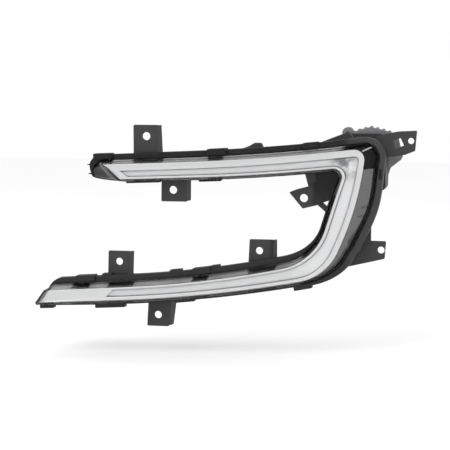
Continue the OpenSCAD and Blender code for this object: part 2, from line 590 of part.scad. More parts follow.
module rear_housing() color("#2b2b2c") {
  difference() {
    union() {
      tray();
      for (s = all_pillars) pillar(s);
      for (p = case_bosses) rod(p, face_y(p.x) + bay_depth - wall_t / 2,
        case_y - face_y(p.x) - bay_depth + wall_t / 2, case_boss_r);
      rod(breather_c, breather_y - wall_t / 2, spigot_l + wall_t / 2, spigot_r);
    }
    for (s = all_pillars) pillar_bore(s);
    for (p = case_bosses) rod(p, case_y - case_screw_l, case_screw_l + 1, case_screw_r + fit_gap);
    rod(breather_c, breather_y - wall_t - 2, spigot_l + wall_t + 4, spigot_bore_r);
    rod(wire_hole, face_y(wire_hole.x) + bay_depth - wall_t - 3, wall_t + 6, wire_hole_r);
  }
  for (t = arm_tabs) arm_tab(t);
  corner_tab();
  leg_tab();
  corner_bracket();
  for (c = rim_clips) rim_clip(c);
  for (s = back_ribs) back_rib(s);
  plinth();
  upper_lug();
  corner_boss();
}

// clear moulded lens that caps the tray
module outer_lens() color("#dfe6ea", 0.4) loft([
  face_loop(lens_border - lens_t - 0.8, lens_t, 0.02),
  face_loop(lens_border - lens_t, lens_t + 1.4, 0.05),
  foot_loop(-lens_t, lens_depth),
  foot_loop(-lens_t, foot_d),
  foot_loop(0, foot_d),
  foot_loop(0, lens_depth),
  face_loop(lens_border, 1.4, 0.05),
  face_loop(lens_border - 1, 0, 0.02)]);

// bead of sealant between the lens foot and the ledge of the tray
module seal_bead() color("#3a3a3a") loft([
  foot_loop(-lens_t, foot_d + fit_gap),
  foot_loop(-lens_t, ledge_d - fit_gap),
  foot_loop(rim_gap - 0.4, ledge_d - fit_gap),
  foot_loop(rim_gap - 0.4, foot_d + fit_gap)], ring = true);

// gloss black trim that lines the side walls of the lens
module black_trim() color("#18181a") loft([
  face_loop(lens_border - lens_t - trim_clear - trim_t, trim_d, 0.05),
  foot_loop(-lens_t - trim_clear - trim_t, lens_depth),
  foot_loop(-neck_inset - wall_t + 0.3, ledge_d - fit_gap),
  foot_loop(-lens_t - trim_clear, ledge_d - fit_gap),
  foot_loop(-lens_t - trim_clear, lens_depth),
  face_loop(lens_border - lens_t - trim_clear, trim_d, 0.05)], ring = true);

// metallised bezel with an open channel for the light guide
module bright_bezel() color("#c9cacc") loft([
  channel_loop(0, bezel_d),
  channel_loop(0, channel_d),
  channel_loop(-lip_w, channel_d),
  channel_loop(-lip_w, channel_d + bezel_t),
  channel_loop(bezel_t, channel_d + bezel_t),
  channel_loop(bezel_t, bezel_d + bezel_t),
  face_loop(0, bezel_d + bezel_t),
  face_loop(0, bezel_d)], ring = true);

// frosted light guide that lies on the lips of the channel
module light_guide() color("#f2f2ee", 0.8) loft([
  channel_loop(-guide_clear, channel_d - fit_gap),
  channel_loop(-guide_clear, guide_d + 0.6),
  channel_loop(-guide_clear - 0.6, guide_d)]);

// LED board that follows the band between two stations, on its own screws
board_inset = lens_t + trim_clear + trim_t + 1;
board_steps = 8;
function board_run(i) = [for (k = [0:board_steps]) board_station(i, k / board_steps)];
function board_loop(run, d) = concat(
  [for (s = run) place(on_rib(s, 1, splay(s, 1) - board_inset), d)],
  [for (i = [len(run) - 1:-1:0]) place(on_rib(run[i], -1, splay(run[i], -1) - board_inset), d)]);
module led_board(i) color("#1f5d38") difference() {
  loft([board_loop(board_run(i), board_setback + board_t), board_loop(board_run(i), board_setback)],
    r = board_steps + 1);
  for (f = pillar_shares(i)) peg(mid_band(board_station(i, f)), -3, board_t + 6, screw_r + 0.3);
}
led_h = 1;
module led_board_upper() led_board(0);
module led_board_leg() led_board(1);
module led_board_lower() led_board(2);
module led_chips(i) color("#f4e9a8") for (k = [0:led_counts[i] - 1]) {
  s = board_station(i, (k + 0.5) / led_counts[i]);
  p = mid_band(s);
  translate(place(p, board_setback - fit_gap)) rotate([0, 0, face_turn(p.x)])
    translate([-led_w / 2, -led_h, -led_w / 2]) cube([led_w, led_h, led_w]);
}
module led_chips_upper() led_chips(0);
module led_chips_leg() led_chips(1);
module led_chips_lower() led_chips(2);
module board_screws() color("#8d8f92") for (s = all_pillars) {
  peg(mid_band(s), -fit_gap - 1.5, 1.5, head_r);
  peg(mid_band(s), -0.5, screw_l - 1, screw_r);
}

// flexible leads from each LED board to the driver board
lead_r = 0.9;
function tube_ring(p, d, r, n = 8) =
  let (u = unit(cross(d, [0.31, 0.17, 0.93])), v = cross(unit(d), u))
  [for (k = [0:n - 1]) p + r * (u * cos(360 * k / n) + v * sin(360 * k / n))];
module lead(path, n = 8) {
  m = len(path);
  rings = [for (i = [0:m - 1]) each
    tube_ring(path[i], path[min(i + 1, m - 1)] - path[max(i - 1, 0)], lead_r, n)];
  sides = [for (k = [0:m - 2]) for (i = [0:n - 1]) each
    let (a = k * n, b = a + n, j = (i + 1) % n)
    [[a + i, b + i, b + j], [a + i, b + j, a + j]]];
  ends = [for (i = [1:n - 2]) each [[0, i, i + 1], [(m - 1) * n, (m - 1) * n + i + 1, (m - 1) * n + i]]];
  polyhedron(points = rings, faces = concat(sides, ends), convexity = 8);
}
// point behind an LED board at station s, a distance back and aside of its pillars
function behind_board(s, back, aside) =
  place(mid_band(s) + rib_dir(s) * aside, board_back + fit_gap + lead_r + back);
board_y_in = case_back - 9;
function lead_end(i) = [wire_hole.x + (i - 1) * 2.4, board_y_in - fit_gap, wire_hole.y];
function lead_path(s0, s1, aside, i) = concat(
  [for (f = [0:0.1:1]) behind_board(lerp(s0, s1, f), 8 * sin(90 * min(1, 3 * f)), aside)],
  [lead_end(i) - [0, 26, 0], lead_end(i) - [0, 18, 0], lead_end(i)]);
module led_leads() color("#5a5a5c") {
  lead(lead_path(board_station(0, 0.97), arm_station(true, 1, corner.x - 13), 0, 0));
  lead(lead_path(board_station(1, 0.03), leg_station(corner.y - 20), 0, 1));
  lead(lead_path(board_station(2, 0.03), leg_station(corner.y - 24), 6, 2));
}

// rubber grommet round the leads, from the tray into the driver case
grommet_wall = 1.2;
module wire_grommet() color("#26262a") {
  y0 = face_y(wire_hole.x) + bay_depth - wall_t - 2.5;
  y1 = case_y + case_t + 1.5;
  difference() {
    union() {
      rod(wire_hole, y0, y1 - y0, wire_hole_r - fit_gap);
      rod(wire_hole, y1 - 1.4, 1.4, wire_hole_r + 1.4);
    }
    rod(wire_hole, y0 - 1, y1 - y0 + 2, wire_hole_r - grommet_wall);
  }
}

// driver case: a moulded box, open to the rear, with its socket in the lower side
case_r = 5;
module case_outline(inset) translate(case_c)
  polygon(rounded([for (q = [[-1, -1], [-1, 1], [1, 1], [1, -1]])
    [q.x * (case_w / 2 - inset), q.y * (case_h / 2 - inset), case_r - inset]]));
socket_at = case_c + [2, -case_h / 2];
socket_w = 20;
socket_t = 12;
socket_l = 15;
socket_wall = 1.6;
socket_y = case_y + 10;
sink_screw_r = 1.5;
module driver_case() color("#303033") {
  difference() {
    union() {
      difference() {
        along_y(case_y, case_depth) case_outline(0);
        along_y(case_y + case_t, case_depth) case_outline(case_t);
      }
      for (p = case_posts) along_y(case_y + case_t / 2, case_depth - case_t / 2)
        translate(p) square(7, center = true);
      block([socket_at.x, socket_y - socket_t / 2, socket_at.y - (socket_l - case_t) / 2],
        [socket_w, socket_t, socket_l + case_t]);
    }
    for (p = case_posts) rod(p, case_back - 10, 11, sink_screw_r + fit_gap);
    for (p = case_bosses) rod(p, case_y - 1, case_t + 2, case_screw_r + 0.4);
    rod(wire_hole, case_y - 1, case_t + 2, wire_hole_r);
    block([socket_at.x, socket_y - socket_t / 2 + socket_wall, socket_at.y - socket_l / 2 - 2.5],
      [socket_w - 2 * socket_wall, socket_t - 2 * socket_wall, socket_l - 2]);
    for (p = pin_row) block([p.x, p.y - pin_w / 2 - eps, p.z], [pin_w + 2 * eps, pin_w + 2 * eps, 14]);
  }
}
// connector pins: bent terminals that run from the driver board into the socket
pin_w = 1.2;
pin_count = 4;
pin_row = [for (k = [0:pin_count - 1])
  [socket_at.x + (k - (pin_count - 1) / 2) * 3.8, socket_y, socket_at.y]];
module connector_pins() color("#c2b280") for (p = pin_row) {
  block([p.x, p.y - pin_w / 2, p.z - 2], [pin_w, pin_w, 21]);
  block([p.x, p.y - pin_w / 2, p.z + 9.1], [pin_w, board_y_in - p.y + pin_w / 2 - fit_gap, pin_w]);
}

module case_screws() color("#8d8f92") for (p = case_bosses) {
  rod(p, case_y + case_t + 0.1, 2.2, case_screw_r + 1.6);
  rod(p, case_y - case_screw_l + 1, case_screw_l + case_t - 0.5, case_screw_r);
}

// driver board, held on the pedestals of the heat sink
sink_y = case_back + gasket_t;
pedestal_r = 3;
pedestal_at = [for (i = [-1, 1]) for (j = [-1, 1]) case_c + [i * (case_w / 2 - 12), j * (case_h / 2 - 5)]];
driver_w = 38;
driver_h = 36;
module driver_board() color("#1f5d38") difference() {
  union() {
    block([case_c.x, board_y_in, case_c.y], [case_w - 2 * case_t - 2, board_t, case_h - 24]);
    block([case_c.x, board_y_in, case_c.y], [case_w - 20, board_t, case_h - 2 * case_t - 2]);
  }
  for (p = pedestal_at) rod(p, board_y_in - 1, board_t + 2, screw_r + 0.3);
}
chip_t = 2.5;
chip_at = [case_c + [-9, 6], case_c + [7, 8], case_c + [-2, -9]];
chip_w = [11, 9, 13];
module driver_chips() color("#1b1b1d") for (i = [0:2])
  block([chip_at[i].x, board_y_in + board_t, chip_at[i].y], [chip_w[i], chip_t, chip_w[i]]);
pad_t = 1;
pad_w = 30;
pad_h = 32;
pad_back = board_y_in + board_t + chip_t + pad_t;
module thermal_pad() color("#b8c4d6")
  block([case_c.x, board_y_in + board_t + chip_t, case_c.y], [pad_w, pad_t, pad_h]);
mount_screw_l = 6;
module board_mount_screws() color("#8d8f92") for (p = pedestal_at) {
  rod(p, board_y_in - 1.5, 1.5, head_r);
  rod(p, board_y_in - 0.5, mount_screw_l, screw_r);
}

module case_gasket() color("#26262a") difference() {
  union() {
    difference() {
      along_y(case_back, gasket_t) case_outline(0);
      along_y(case_back - 1, gasket_t + 2) case_outline(case_t);
    }
    for (p = case_posts) along_y(case_back, gasket_t) translate(p) square(7, center = true);
  }
  for (p = case_posts) rod(p, case_back - 1, gasket_t + 2, sink_screw_r + 0.3);
}

// finned heat sink that closes the case, with an ear at its left top corner
sink_right = [[31.5, 27.6, 1.5], [36.9, 4.7, 2], [34.9, 1.1, 2], [24.8, -6.8, 2], [22.3, -14, 2]];
sink_tops = [[-22, 27], [-5.4, 32.4], [3.8, 34.7], [18.2, 31.3], [31.5, 27.6]];
fin_count = 8;
fin_first = -14.4;
fin_wide_from = 22;
ear_c = case_c + [-19.7, 28.4];
ear_r = 5.8;
ear_l = 9;
module heat_sink() color("#9a9da1") difference() {
  union() {
    along_y(sink_y, sink_t) polygon(rounded(concat([for (q = sink_tops) if (q[0] < 30)
      [case_c.x + q[0], case_c.y + q[1], 4]], [for (q = sink_right) [case_c.x + q[0], case_c.y + q[1], q[2]]],
      [case_c + [case_w / 2, -case_h / 2 + 4, 3], case_c + [case_w / 2 - 6, -case_h / 2, 3],
        case_c + [-case_w / 2, -case_h / 2, 3]])));
    for (k = [0:fin_count - 1]) {
      x = fin_first + k * fin_pitch;
      bottom = case_c.y + (x > fin_wide_from ? 2 : 1 - case_h / 2);
      top = case_c.y + lookup(x, sink_tops) + 1;
      translate([case_c.x + x - fin_t / 2, 0, 0]) rotate([90, 0, 90]) linear_extrude(fin_t) polygon(rounded([
        [sink_y + sink_t / 2, bottom, 0], [sink_y + sink_t + fin_h, bottom, 2],
        [sink_y + sink_t + fin_h, top, 5], [sink_y + sink_t / 2, top, 0]]));
    }
    along_y(pad_back, sink_y + sink_t / 2 - pad_back) translate(case_c) square([28, 30], center = true);
    for (p = pedestal_at)
      rod(p, board_y_in + board_t, sink_y + sink_t / 2 - board_y_in - board_t, pedestal_r);
    rod(ear_c, sink_y, ear_l, ear_r);
  }
  for (p = case_posts) rod(p, sink_y - 1, sink_t + fin_h + 4, sink_screw_r + 0.3);
  for (p = case_posts) rod(p, sink_y + sink_t, fin_h + 4, sink_screw_r + 1.8);
  for (p = pedestal_at) rod(p, board_y_in + board_t - 1, 6, screw_r + fit_gap);
  rod(ear_c, sink_y - 1, ear_l - 1, sink_screw_r);
}
module sink_screws() color("#8d8f92") for (p = case_posts) {
  rod(p, sink_y + sink_t, 2.2, sink_screw_r + 1.4);
  rod(p, case_back - 8, sink_t + gasket_t + 8.5, sink_screw_r);
}

// breather cap and its membrane on the spigot
membrane_t = 0.4;
module breather_membrane() color("#e9e9e6")
  rod(breather_c, breather_y + spigot_l, membrane_t, spigot_r - 0.3);
module breather_cap() color("#202022") difference() {
  rod(breather_c, breather_y + 1.2, spigot_l + 2.2, spigot_r + 1.4);
  rod(breather_c, breather_y, spigot_l + 1.2 + membrane_t, spigot_r + fit_gap);
  for (a = [0:90:270]) translate([breather_c.x, breather_y, breather_c.y]) rotate([0, a, 0])
    translate([spigot_r, 0, -0.8]) cube([3, 2.2, 1.6]);
}

rear_housing();
outer_lens();
seal_bead();
black_trim();
bright_bezel();
light_guide();
led_board_upper();
led_board_leg();
led_board_lower();
led_chips_upper();
led_chips_leg();
led_chips_lower();
board_screws();
led_leads();
wire_grommet();
driver_case();
case_screws();
driver_board();
driver_chips();
thermal_pad();
board_mount_screws();
case_gasket();
heat_sink();
sink_screws();
connector_pins();
breather_cap();
breather_membrane();
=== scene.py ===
import math
import bmesh
import bpy
import numpy as np
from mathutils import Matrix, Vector


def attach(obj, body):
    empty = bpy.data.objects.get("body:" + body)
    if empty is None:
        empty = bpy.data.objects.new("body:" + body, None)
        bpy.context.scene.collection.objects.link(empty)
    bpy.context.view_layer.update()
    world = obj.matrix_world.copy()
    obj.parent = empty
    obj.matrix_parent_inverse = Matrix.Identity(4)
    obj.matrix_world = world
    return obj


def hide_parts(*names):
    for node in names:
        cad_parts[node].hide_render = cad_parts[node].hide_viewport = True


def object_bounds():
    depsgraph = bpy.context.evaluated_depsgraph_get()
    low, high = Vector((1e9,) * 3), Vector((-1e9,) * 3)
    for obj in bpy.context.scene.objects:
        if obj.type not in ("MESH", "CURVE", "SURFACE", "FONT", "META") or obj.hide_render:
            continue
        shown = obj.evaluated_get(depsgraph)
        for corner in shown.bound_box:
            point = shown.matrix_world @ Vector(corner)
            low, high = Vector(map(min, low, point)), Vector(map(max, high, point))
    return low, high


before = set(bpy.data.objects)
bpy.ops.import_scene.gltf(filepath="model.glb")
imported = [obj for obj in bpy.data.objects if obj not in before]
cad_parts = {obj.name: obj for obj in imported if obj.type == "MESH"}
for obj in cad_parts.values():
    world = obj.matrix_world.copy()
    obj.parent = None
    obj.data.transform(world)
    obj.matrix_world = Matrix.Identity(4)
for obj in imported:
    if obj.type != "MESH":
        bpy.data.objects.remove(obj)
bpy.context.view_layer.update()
print("frame loaded:", len(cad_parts), "solids")

mm = 0.001

# lines of the lamp: the same sketch as the solids, in millimetres
lampLines = {
    "corner": (63.0, 50.9),
    "upperArm": (256.0, 17.0, 4.0),  # length, rise, sag
    "leg": (127.0, 37.0, 9.5),  # height, lean, bulge
    "lowerArm": (287.0, 29.5, 8.0),  # length, drop, sag
    "middles": (0.43, 0.445, 0.41),  # how far along each of them its middle point lies
    "fullness": (0.75, 0.94, 0.94),  # how much of its room each middle arc takes
    "cornerRadius": 10.0,
    "bendRadius": 50.0,
    "innerChange": (-1.5, 5.0),  # of these two radii, on the inner edge
    "wrapRadius": 1350.0,
    "bandWidths": (14.2, 15.5, 16.5, 23.0, 16.0, 13.5, 12.3),
    "tipSlants": {0: 16.5, 6: 9.5},  # how far the inner edge stops short at each tip
    "faceSetback": 28.0,
    "steps": (34, 40, 40, 44, 6, 36, 8, 56, 10, 56, 56),
    "upperTipBulge": (0, 7, 16, 22.5, 27, 27, 0),
    "lowerTipBulge": (0, 2, 2.4, 2.4, 2.4, 2, 0),
    "tipKnots": (0, 0.12, 0.3, 0.5, 0.7, 0.88, 1),  # where across a tip its bulges are given
    "tipStart": 1.9,  # how steeply a tip starts
    "tipSteps": 24,
}


def vec(*xs):
    return np.array(xs, float)


def unit(v):
    return v / np.linalg.norm(v)


def lerp(a, b, f):
    return a + (b - a) * f


def turned(v, angle):
    c, s = math.cos(angle), math.sin(angle)
    return vec(v[0] * c - v[1] * s, v[0] * s + v[1] * c)


def filletPoint(p, a, b, r, f):
    half = math.acos(max(-1.0, min(1.0, float(a @ b)))) / 2
    centre = p + unit(a + b) * r / math.sin(half)
    way = 1 if a[1] * b[0] - a[0] * b[1] > 0 else -1
    return centre + turned(p + a * r / math.tan(half) - centre, way * f * (math.pi - 2 * half))


def sketchLines(given):
    corner = vec(*given["corner"])
    lu, rise, sagU = given["upperArm"]
    height, lean, bulge = given["leg"]
    ll, drop, sagL = given["lowerArm"]
    bend = corner + vec(-lean, -height)
    upperTip = corner + vec(-lu, -rise)
    lowerTip = bend + vec(-ll, -drop)
    along = given["middles"]
    outer = [upperTip, lerp(corner, upperTip, along[0]) + vec(0, -sagU), corner,
             lerp(corner, bend, along[1]) + vec(bulge, 0), bend,
             lerp(bend, lowerTip, along[2]) + vec(0, -sagL), lowerTip]
    inner = []
    for i, p in enumerate(outer):
        before = unit(outer[1] - p if i == 0 else p - outer[i - 1])
        after = unit(p - outer[i - 1] if i == 6 else outer[i + 1] - p)
        n1, n2 = vec(before[1], -before[0]), vec(after[1], -after[0])
        q = p + (n1 + n2) * given["bandWidths"][i] / (1 + n1 @ n2)
        inner.append(q + vec(given["tipSlants"].get(i, 0), 0))
    return outer, inner


def sweptEdge(points, cornerRadius, bendRadius):
    def half(i):
        a, b = unit(points[i - 1] - points[i]), unit(points[i + 1] - points[i])
        return math.acos(float(a @ b)) / 2

    def sweep(i, before, after):
        room = min(np.linalg.norm(points[i] - points[i - 1]) - before,
                   np.linalg.norm(points[i + 1] - points[i]) - after)
        return lampLines["fullness"][i // 2] * room * math.tan(half(i))
    c, b = cornerRadius / math.tan(half(2)), bendRadius / math.tan(half(4))
    radii = [0, sweep(1, 0, c), cornerRadius, sweep(3, c, b), bendRadius, sweep(5, b, 0), 0]
    return points, radii


outerSketch, innerSketch = sketchLines(lampLines)
bends = lampLines["cornerRadius"], lampLines["bendRadius"]
outerEdge = sweptEdge(outerSketch, *bends)
innerEdge = sweptEdge(innerSketch, *(r + change for r, change in zip(bends, lampLines["innerChange"])))


def edgePoint(edge, s):
    points, radii = edge
    k = min(int(math.floor(s)), 10)
    f = s - k

    def side(i, j):
        return unit(points[j] - points[i])

    def tangent(i, j):
        if radii[i] == 0:
            return points[i]
        a, b = side(i, i - 1), side(i, i + 1)
        half = math.acos(float(a @ b)) / 2
        return points[i] + side(i, j) * radii[i] / math.tan(half)
    if k % 2 == 0:
        i = k // 2
        return lerp(tangent(i, i + 1), tangent(i + 1, i), f)
    i = (k + 1) // 2
    return filletPoint(points[i], side(i, i - 1), side(i, i + 1), radii[i], f)


def law(values, s):
    k = min(int(math.floor(s)), 10)
    f = s - k
    return lerp(values[k], values[k + 1], f * f * (3 - 2 * f))


sections = {
    "splayOut": (3.6, 3.6, 3.6, 4.4, 12.6, 12.0, 10.6, 8.8, 4.2, 3.8, 3.8, 3.8),
    "splayIn": (2.2, 2.2, 2.2, 3.4) + (4.6,) * 8,
    "swells": {3: 1.8, 5: 2.6},  # how much more the outer wall splays midway along the corner and the leg
    "squareness": (0,) + (1,) * 9 + (0, 0),
    "rimOut": (5.0, 5.6, 5.6, 5.6, 5.0, 5.6, 6.6, 6.4, 3.2, 2.3, 2.3, 1.4),
    "rimIn": (1.4,) * 4 + (2.0,) * 4 + (5.4,) * 4,
    "flangeOut": (6.8,) * 4 + (5.4,) * 4 + (3.4,) * 4,
    "flangeIn": (2.1,) * 4 + (2.8,) * 4 + (2.1,) * 4,
    "depth": (45, 45, 45, 53, 53, 53, 53, 47, 45, 45, 45, 45),
    "lensDepth": 20.0, "lensWall": 1.8, "lensBorder": 2.4, "footDepth": 25.0,
    "rimGap": 0.6, "ledge": 26.5, "rimBack": 28.0, "neck": 30.0, "neckInset": 1.6, "draft": 1.5, "wall": 2.4,
    "bezelDepth": 2.6, "bezelWall": 1.0, "channelDepth": 8.6, "lip": 1.2, "trimClear": 0.6, "trimBack": 26.3,
    "trimWall": 1.0, "guideDepth": 3.0,
    "channelEnds": (0.135, 10.2), "tipRim": 2.0, "tipShare": 1.3,
}


def bySide(key, s, side):
    return law(sections[key + ("Out" if side > 0 else "In")], s)


edges = {1: outerEdge, -1: innerEdge}
ribCache = {}


def rib(s):
    # an edge point on each side and the way out of the band there, stretched to hold the offset true
    s = round(float(s), 6)
    if s not in ribCache:
        o, i = edgePoint(outerEdge, s), edgePoint(innerEdge, s)
        ends = {}
        for side, edge in edges.items():
            d = unit(edgePoint(edge, min(s + 0.01, 11)) - edgePoint(edge, max(s - 0.01, 0)))
            way = unit(lerp(unit(o - i), vec(-d[1], d[0]), law(sections["squareness"], s))) * side
            ends[side] = (o if side > 0 else i, way / max(0.6, abs(d[0] * way[1] - d[1] * way[0])))
        ribCache[s] = ends
    return ribCache[s]


def onRib(s, side, off):
    p, way = rib(s)[side]
    return p + way * off


def splay(s, side):
    swell = sections["swells"].get(int(s), 0) * math.sin(math.pi * s) ** 2 if side > 0 else 0
    return bySide("splay", s, side) + swell


def onWall(s, side, off=0.0):
    return onRib(s, side, splay(s, side) + off)


def faceY(x):
    x0 = lowerTipX
    return ((x - x0) ** 2 - x0 ** 2) / (2 * lampLines["wrapRadius"]) - lampLines["faceSetback"]


lowerTipX = outerSketch[6][0]
fineStations = np.array([k + j / n for k, n in enumerate(lampLines["steps"]) for j in range(n)] + [11.0])


def squeezed(s):
    a, b = sections["channelEnds"]
    return lerp(a, 1, s) if s < 1 else lerp(10, b, s - 10) if s > 10 else s


tipTs = (1 - np.cos(np.linspace(0, math.pi, lampLines["tipSteps"] + 2)[1:-1])) / 2


def tipBulge(values, t):
    knots = np.array(lampLines["tipKnots"])
    i = min(int(np.searchsorted(knots, t, "right")) - 1, 5)
    slope = [(values[min(k + 1, 6)] - values[max(k - 1, 0)]) / (knots[min(k + 1, 6)] - knots[max(k - 1, 0)])
             for k in (i, i + 1)]
    if i == 0:
        slope[0] = lampLines["tipStart"] * values[1] / knots[1]
    if i == 5:
        slope[1] = -lampLines["tipStart"] * values[5] / knots[1]
    h = knots[i + 1] - knots[i]
    u = (t - knots[i]) / h
    return ((2 * u ** 3 - 3 * u ** 2 + 1) * values[i] + (u ** 3 - 2 * u ** 2 + u) * h * slope[0]
            + (3 * u ** 2 - 2 * u ** 3) * values[i + 1] + (u ** 3 - u ** 2) * h * slope[1])


def filletProfile(points, closed, n=4):
    # points: (base, x, depth, radius, squeeze): x is the whole offset from the band's edge
    out = []
    m = len(points)
    for i, (base, x, d, r, squeeze) in enumerate(points):
        if r <= 0 or (not closed and i in (0, m - 1)):
            out.append((base, x, d, squeeze))
            continue
        p = vec(x, d)
        before, after = points[i - 1], points[(i + 1) % m]
        a, b = vec(before[1], before[2]) - p, vec(after[1], after[2]) - p
        la, lb = np.linalg.norm(a), np.linalg.norm(b)
        a, b = a / la, b / lb
        half = math.acos(max(-1, min(1, float(a @ b)))) / 2
        if abs(math.cos(half)) < 0.02:
            out.extend([(base, x, d, squeeze)] * (n + 1))
            continue
        t = min(r / math.tan(half), 0.45 * la, 0.45 * lb)
        for j in range(n + 1):
            q = filletPoint(p, a, b, t * math.tan(half), j / n)
            pull = min(1.0, t * abs(1 - 2 * j / n) / (la if j < n / 2 else lb))
            out.append((lerp(base, (before if j < n / 2 else after)[0], pull), q[0], q[1], squeeze))
    return out


def meshFromLoops(name, loops, stations, closed):
    # loops run along the outer edge, round the lower tip, back along the inner edge and round the upper tip
    k, n = len(loops), len(loops[0])
    r, t = stations, (n - 2 * stations) // 2
    verts = np.concatenate(loops) * mm
    faces = []
    for a in range(k if closed else k - 1):
        b = (a + 1) % k
        for i in range(n):
            j = (i + 1) % n
            faces.append((a * n + i, a * n + j, b * n + j, b * n + i))
    if not closed:
        ladder = [(i, 2 * r + t - 1 - i, 2 * r + t - 2 - i, i + 1) for i in range(r - 1)]
        ladder.append(tuple(range(r - 1, r + t + 1))[::-1])
        ladder.append((0,) + tuple(range(2 * r + 2 * t - 1, 2 * r + t - 2, -1)))
        faces += ladder
        faces += [tuple(v + (k - 1) * n for v in f[::-1]) for f in ladder]
    mesh = bpy.data.meshes.new(name)
    mesh.from_pydata(verts.tolist(), [], faces)
    return mesh


def tidyMesh(mesh, angle=32):
    bm = bmesh.new()
    bm.from_mesh(mesh)
    bmesh.ops.remove_doubles(bm, verts=bm.verts, dist=2e-6)
    bmesh.ops.recalc_face_normals(bm, faces=bm.faces)
    bm.to_mesh(mesh)
    bm.free()
    mesh.shade_smooth()
    mesh.set_sharp_from_angle(angle=math.radians(angle))
    return mesh


def bandMesh(name, profile, closed, fillet=4):
    # profile(s, side) gives (base, offset past base, depth, radius[, squeeze]) round the section
    rows = {}
    for side in (1, -1):
        for s in fineStations:
            pts = [(p[0], p[0] * splay(s, side) + p[1], p[2], p[3], p[4] if len(p) > 4 else 0)
                   for p in profile(s, side)]
            rows[side, s] = filletProfile(pts, closed, fillet)
    count = len(rows[1, fineStations[0]])
    loops = []
    for k in range(count):
        def point(s, side):
            base, x, d, squeeze = rows[side, s][k]
            p = onRib(squeezed(s) if squeeze else s, side, x)
            return (p[0], faceY(p[0]) + d, p[1])

        def tip(s, values):
            out = []
            base, xo, do, squeeze = rows[1, s][k]
            xi, di = rows[-1, s][k][1:3]
            at = squeezed(s) if squeeze else s
            a, b = onRib(at, 1, xo), onRib(at, -1, xi)
            for f in tipTs:
                room = sections["tipShare"] * lerp(xo - base * splay(s, 1), xi - base * splay(s, -1), f)
                room = room if base < 0.5 else min(room, sections["tipRim"])
                flat = 0 if squeeze else room * min(1, 8 * f, 8 * (1 - f))
                p = lerp(a, b, f) - vec(tipBulge(values, f) * base + flat, 0)
                out.append((p[0], faceY(p[0]) + lerp(do, di, f), p[1]))
            return out
        low = tip(fineStations[-1], lampLines["lowerTipBulge"])
        high = tip(fineStations[0], lampLines["upperTipBulge"])
        loops.append(np.array([point(s, 1) for s in fineStations] + low
                              + [point(s, -1) for s in fineStations[::-1]] + high[::-1]))
    return tidyMesh(meshFromLoops(name, loops, len(fineStations), closed))


# small mouldings: outlines with rounded corners, carried through a thickness with rounded edges
def roundedOutline(points, n=5):
    out = []
    m = len(points)
    for i, given in enumerate(points):
        p, r = vec(*given[:2]), given[2] if len(given) > 2 else 0
        if r <= 0:
            out.append(p)
            continue
        a, b = unit(vec(*points[i - 1][:2]) - p), unit(vec(*points[(i + 1) % m][:2]) - p)
        out += [filletPoint(p, a, b, r, j / n) for j in range(n + 1)]
    return out


def circle(centre, r, n=40):
    return [vec(centre[0] + r * math.cos(a), centre[1] + r * math.sin(a))
            for a in np.linspace(0, 2 * math.pi, n + 1)[:-1]]


def insetLoop(points, e):
    # moves a loop inwards by e, each corner along its mitre
    out = []
    for i, p in enumerate(points):
        a, b = unit(p - points[i - 1]), unit(points[(i + 1) % len(points)] - p)
        n1, n2 = vec(-a[1], a[0]), vec(-b[1], b[0])
        out.append(p + (n1 + n2) * e / max(0.35, 1 + n1 @ n2))
    return out


def loopArea(points):
    return sum(p[0] * q[1] - q[0] * p[1] for p, q in zip(points, points[1:] + points[:1])) / 2


def alongY(u, v, n):
    return u, n, v


def slab(bm, outline, near, far, holes=(), edge=0.4, place=alongY):
    # an outline with its holes, carried from near to far with rounded edges
    caps = {near: [], far: []}
    for k, pts in enumerate([outline, *holes]):
        pts = [vec(*p[:2]) for p in pts]
        pts = pts if loopArea(pts) > 0 else pts[::-1]
        way = -1 if k else 1
        rows = []
        for j in range(8):
            a = math.pi / 6 * (j if j < 4 else 7 - j)
            e, d = edge * (1 - math.sin(a)), edge * (1 - math.cos(a))
            n = near + d if j < 4 else far - d
            rows.append([bm.verts.new(Vector(place(q[0], q[1], n)) * mm) for q in insetLoop(pts, e * way)])
        for a, b in zip(rows, rows[1:]):
            for i in range(len(a)):
                bm.faces.new((a[i - 1], a[i], b[i], b[i - 1]))
        caps[near].append(rows[0])
        caps[far].append(rows[-1])
    for loops in caps.values():
        rim = [bm.edges.get((loop[i - 1], loop[i])) for loop in loops for i in range(len(loop))]
        bmesh.ops.triangle_fill(bm, use_beauty=True, use_dissolve=False, edges=rim)


def gusset(bm, a, b, y, deep, endDeep, lean=0.0, thick=2.0):
    # rib behind a plate, on plan line a-b: deep at a, endDeep at b, leaning outwards
    turn = math.atan2(b[1] - a[1], b[0] - a[0])
    length = float(np.linalg.norm(b - a))

    def place(u, v, n):
        back, across = v * math.cos(lean) - n * math.sin(lean), v * math.sin(lean) + n * math.cos(lean)
        return (a[0] + u * math.cos(turn) - across * math.sin(turn), y + back,
                a[1] + u * math.sin(turn) + across * math.cos(turn))
    slab(bm, roundedOutline([(0, 0), (length, 0), (length, endDeep, 0.8), (0, deep)]), -thick / 2, thick / 2,
         edge=0.35, place=place)


# where an edge of the band passes a given x or z, and where tabs are rooted in the tray
def stationAt(side, value, axis, lo, hi):
    rising = edgePoint(edges[side], hi)[axis] > edgePoint(edges[side], lo)[axis]
    for _ in range(26):
        mid = (lo + hi) / 2
        if (edgePoint(edges[side], mid)[axis] < value) == rising:
            lo = mid
        else:
            hi = mid
    return (lo + hi) / 2


def armStation(upper, side, x):
    return stationAt(side, x, 0, 0, 3) if upper else stationAt(side, x, 0, 8, 11)


def legStation(side, z):
    return stationAt(side, z, 1, 3.5, 8)


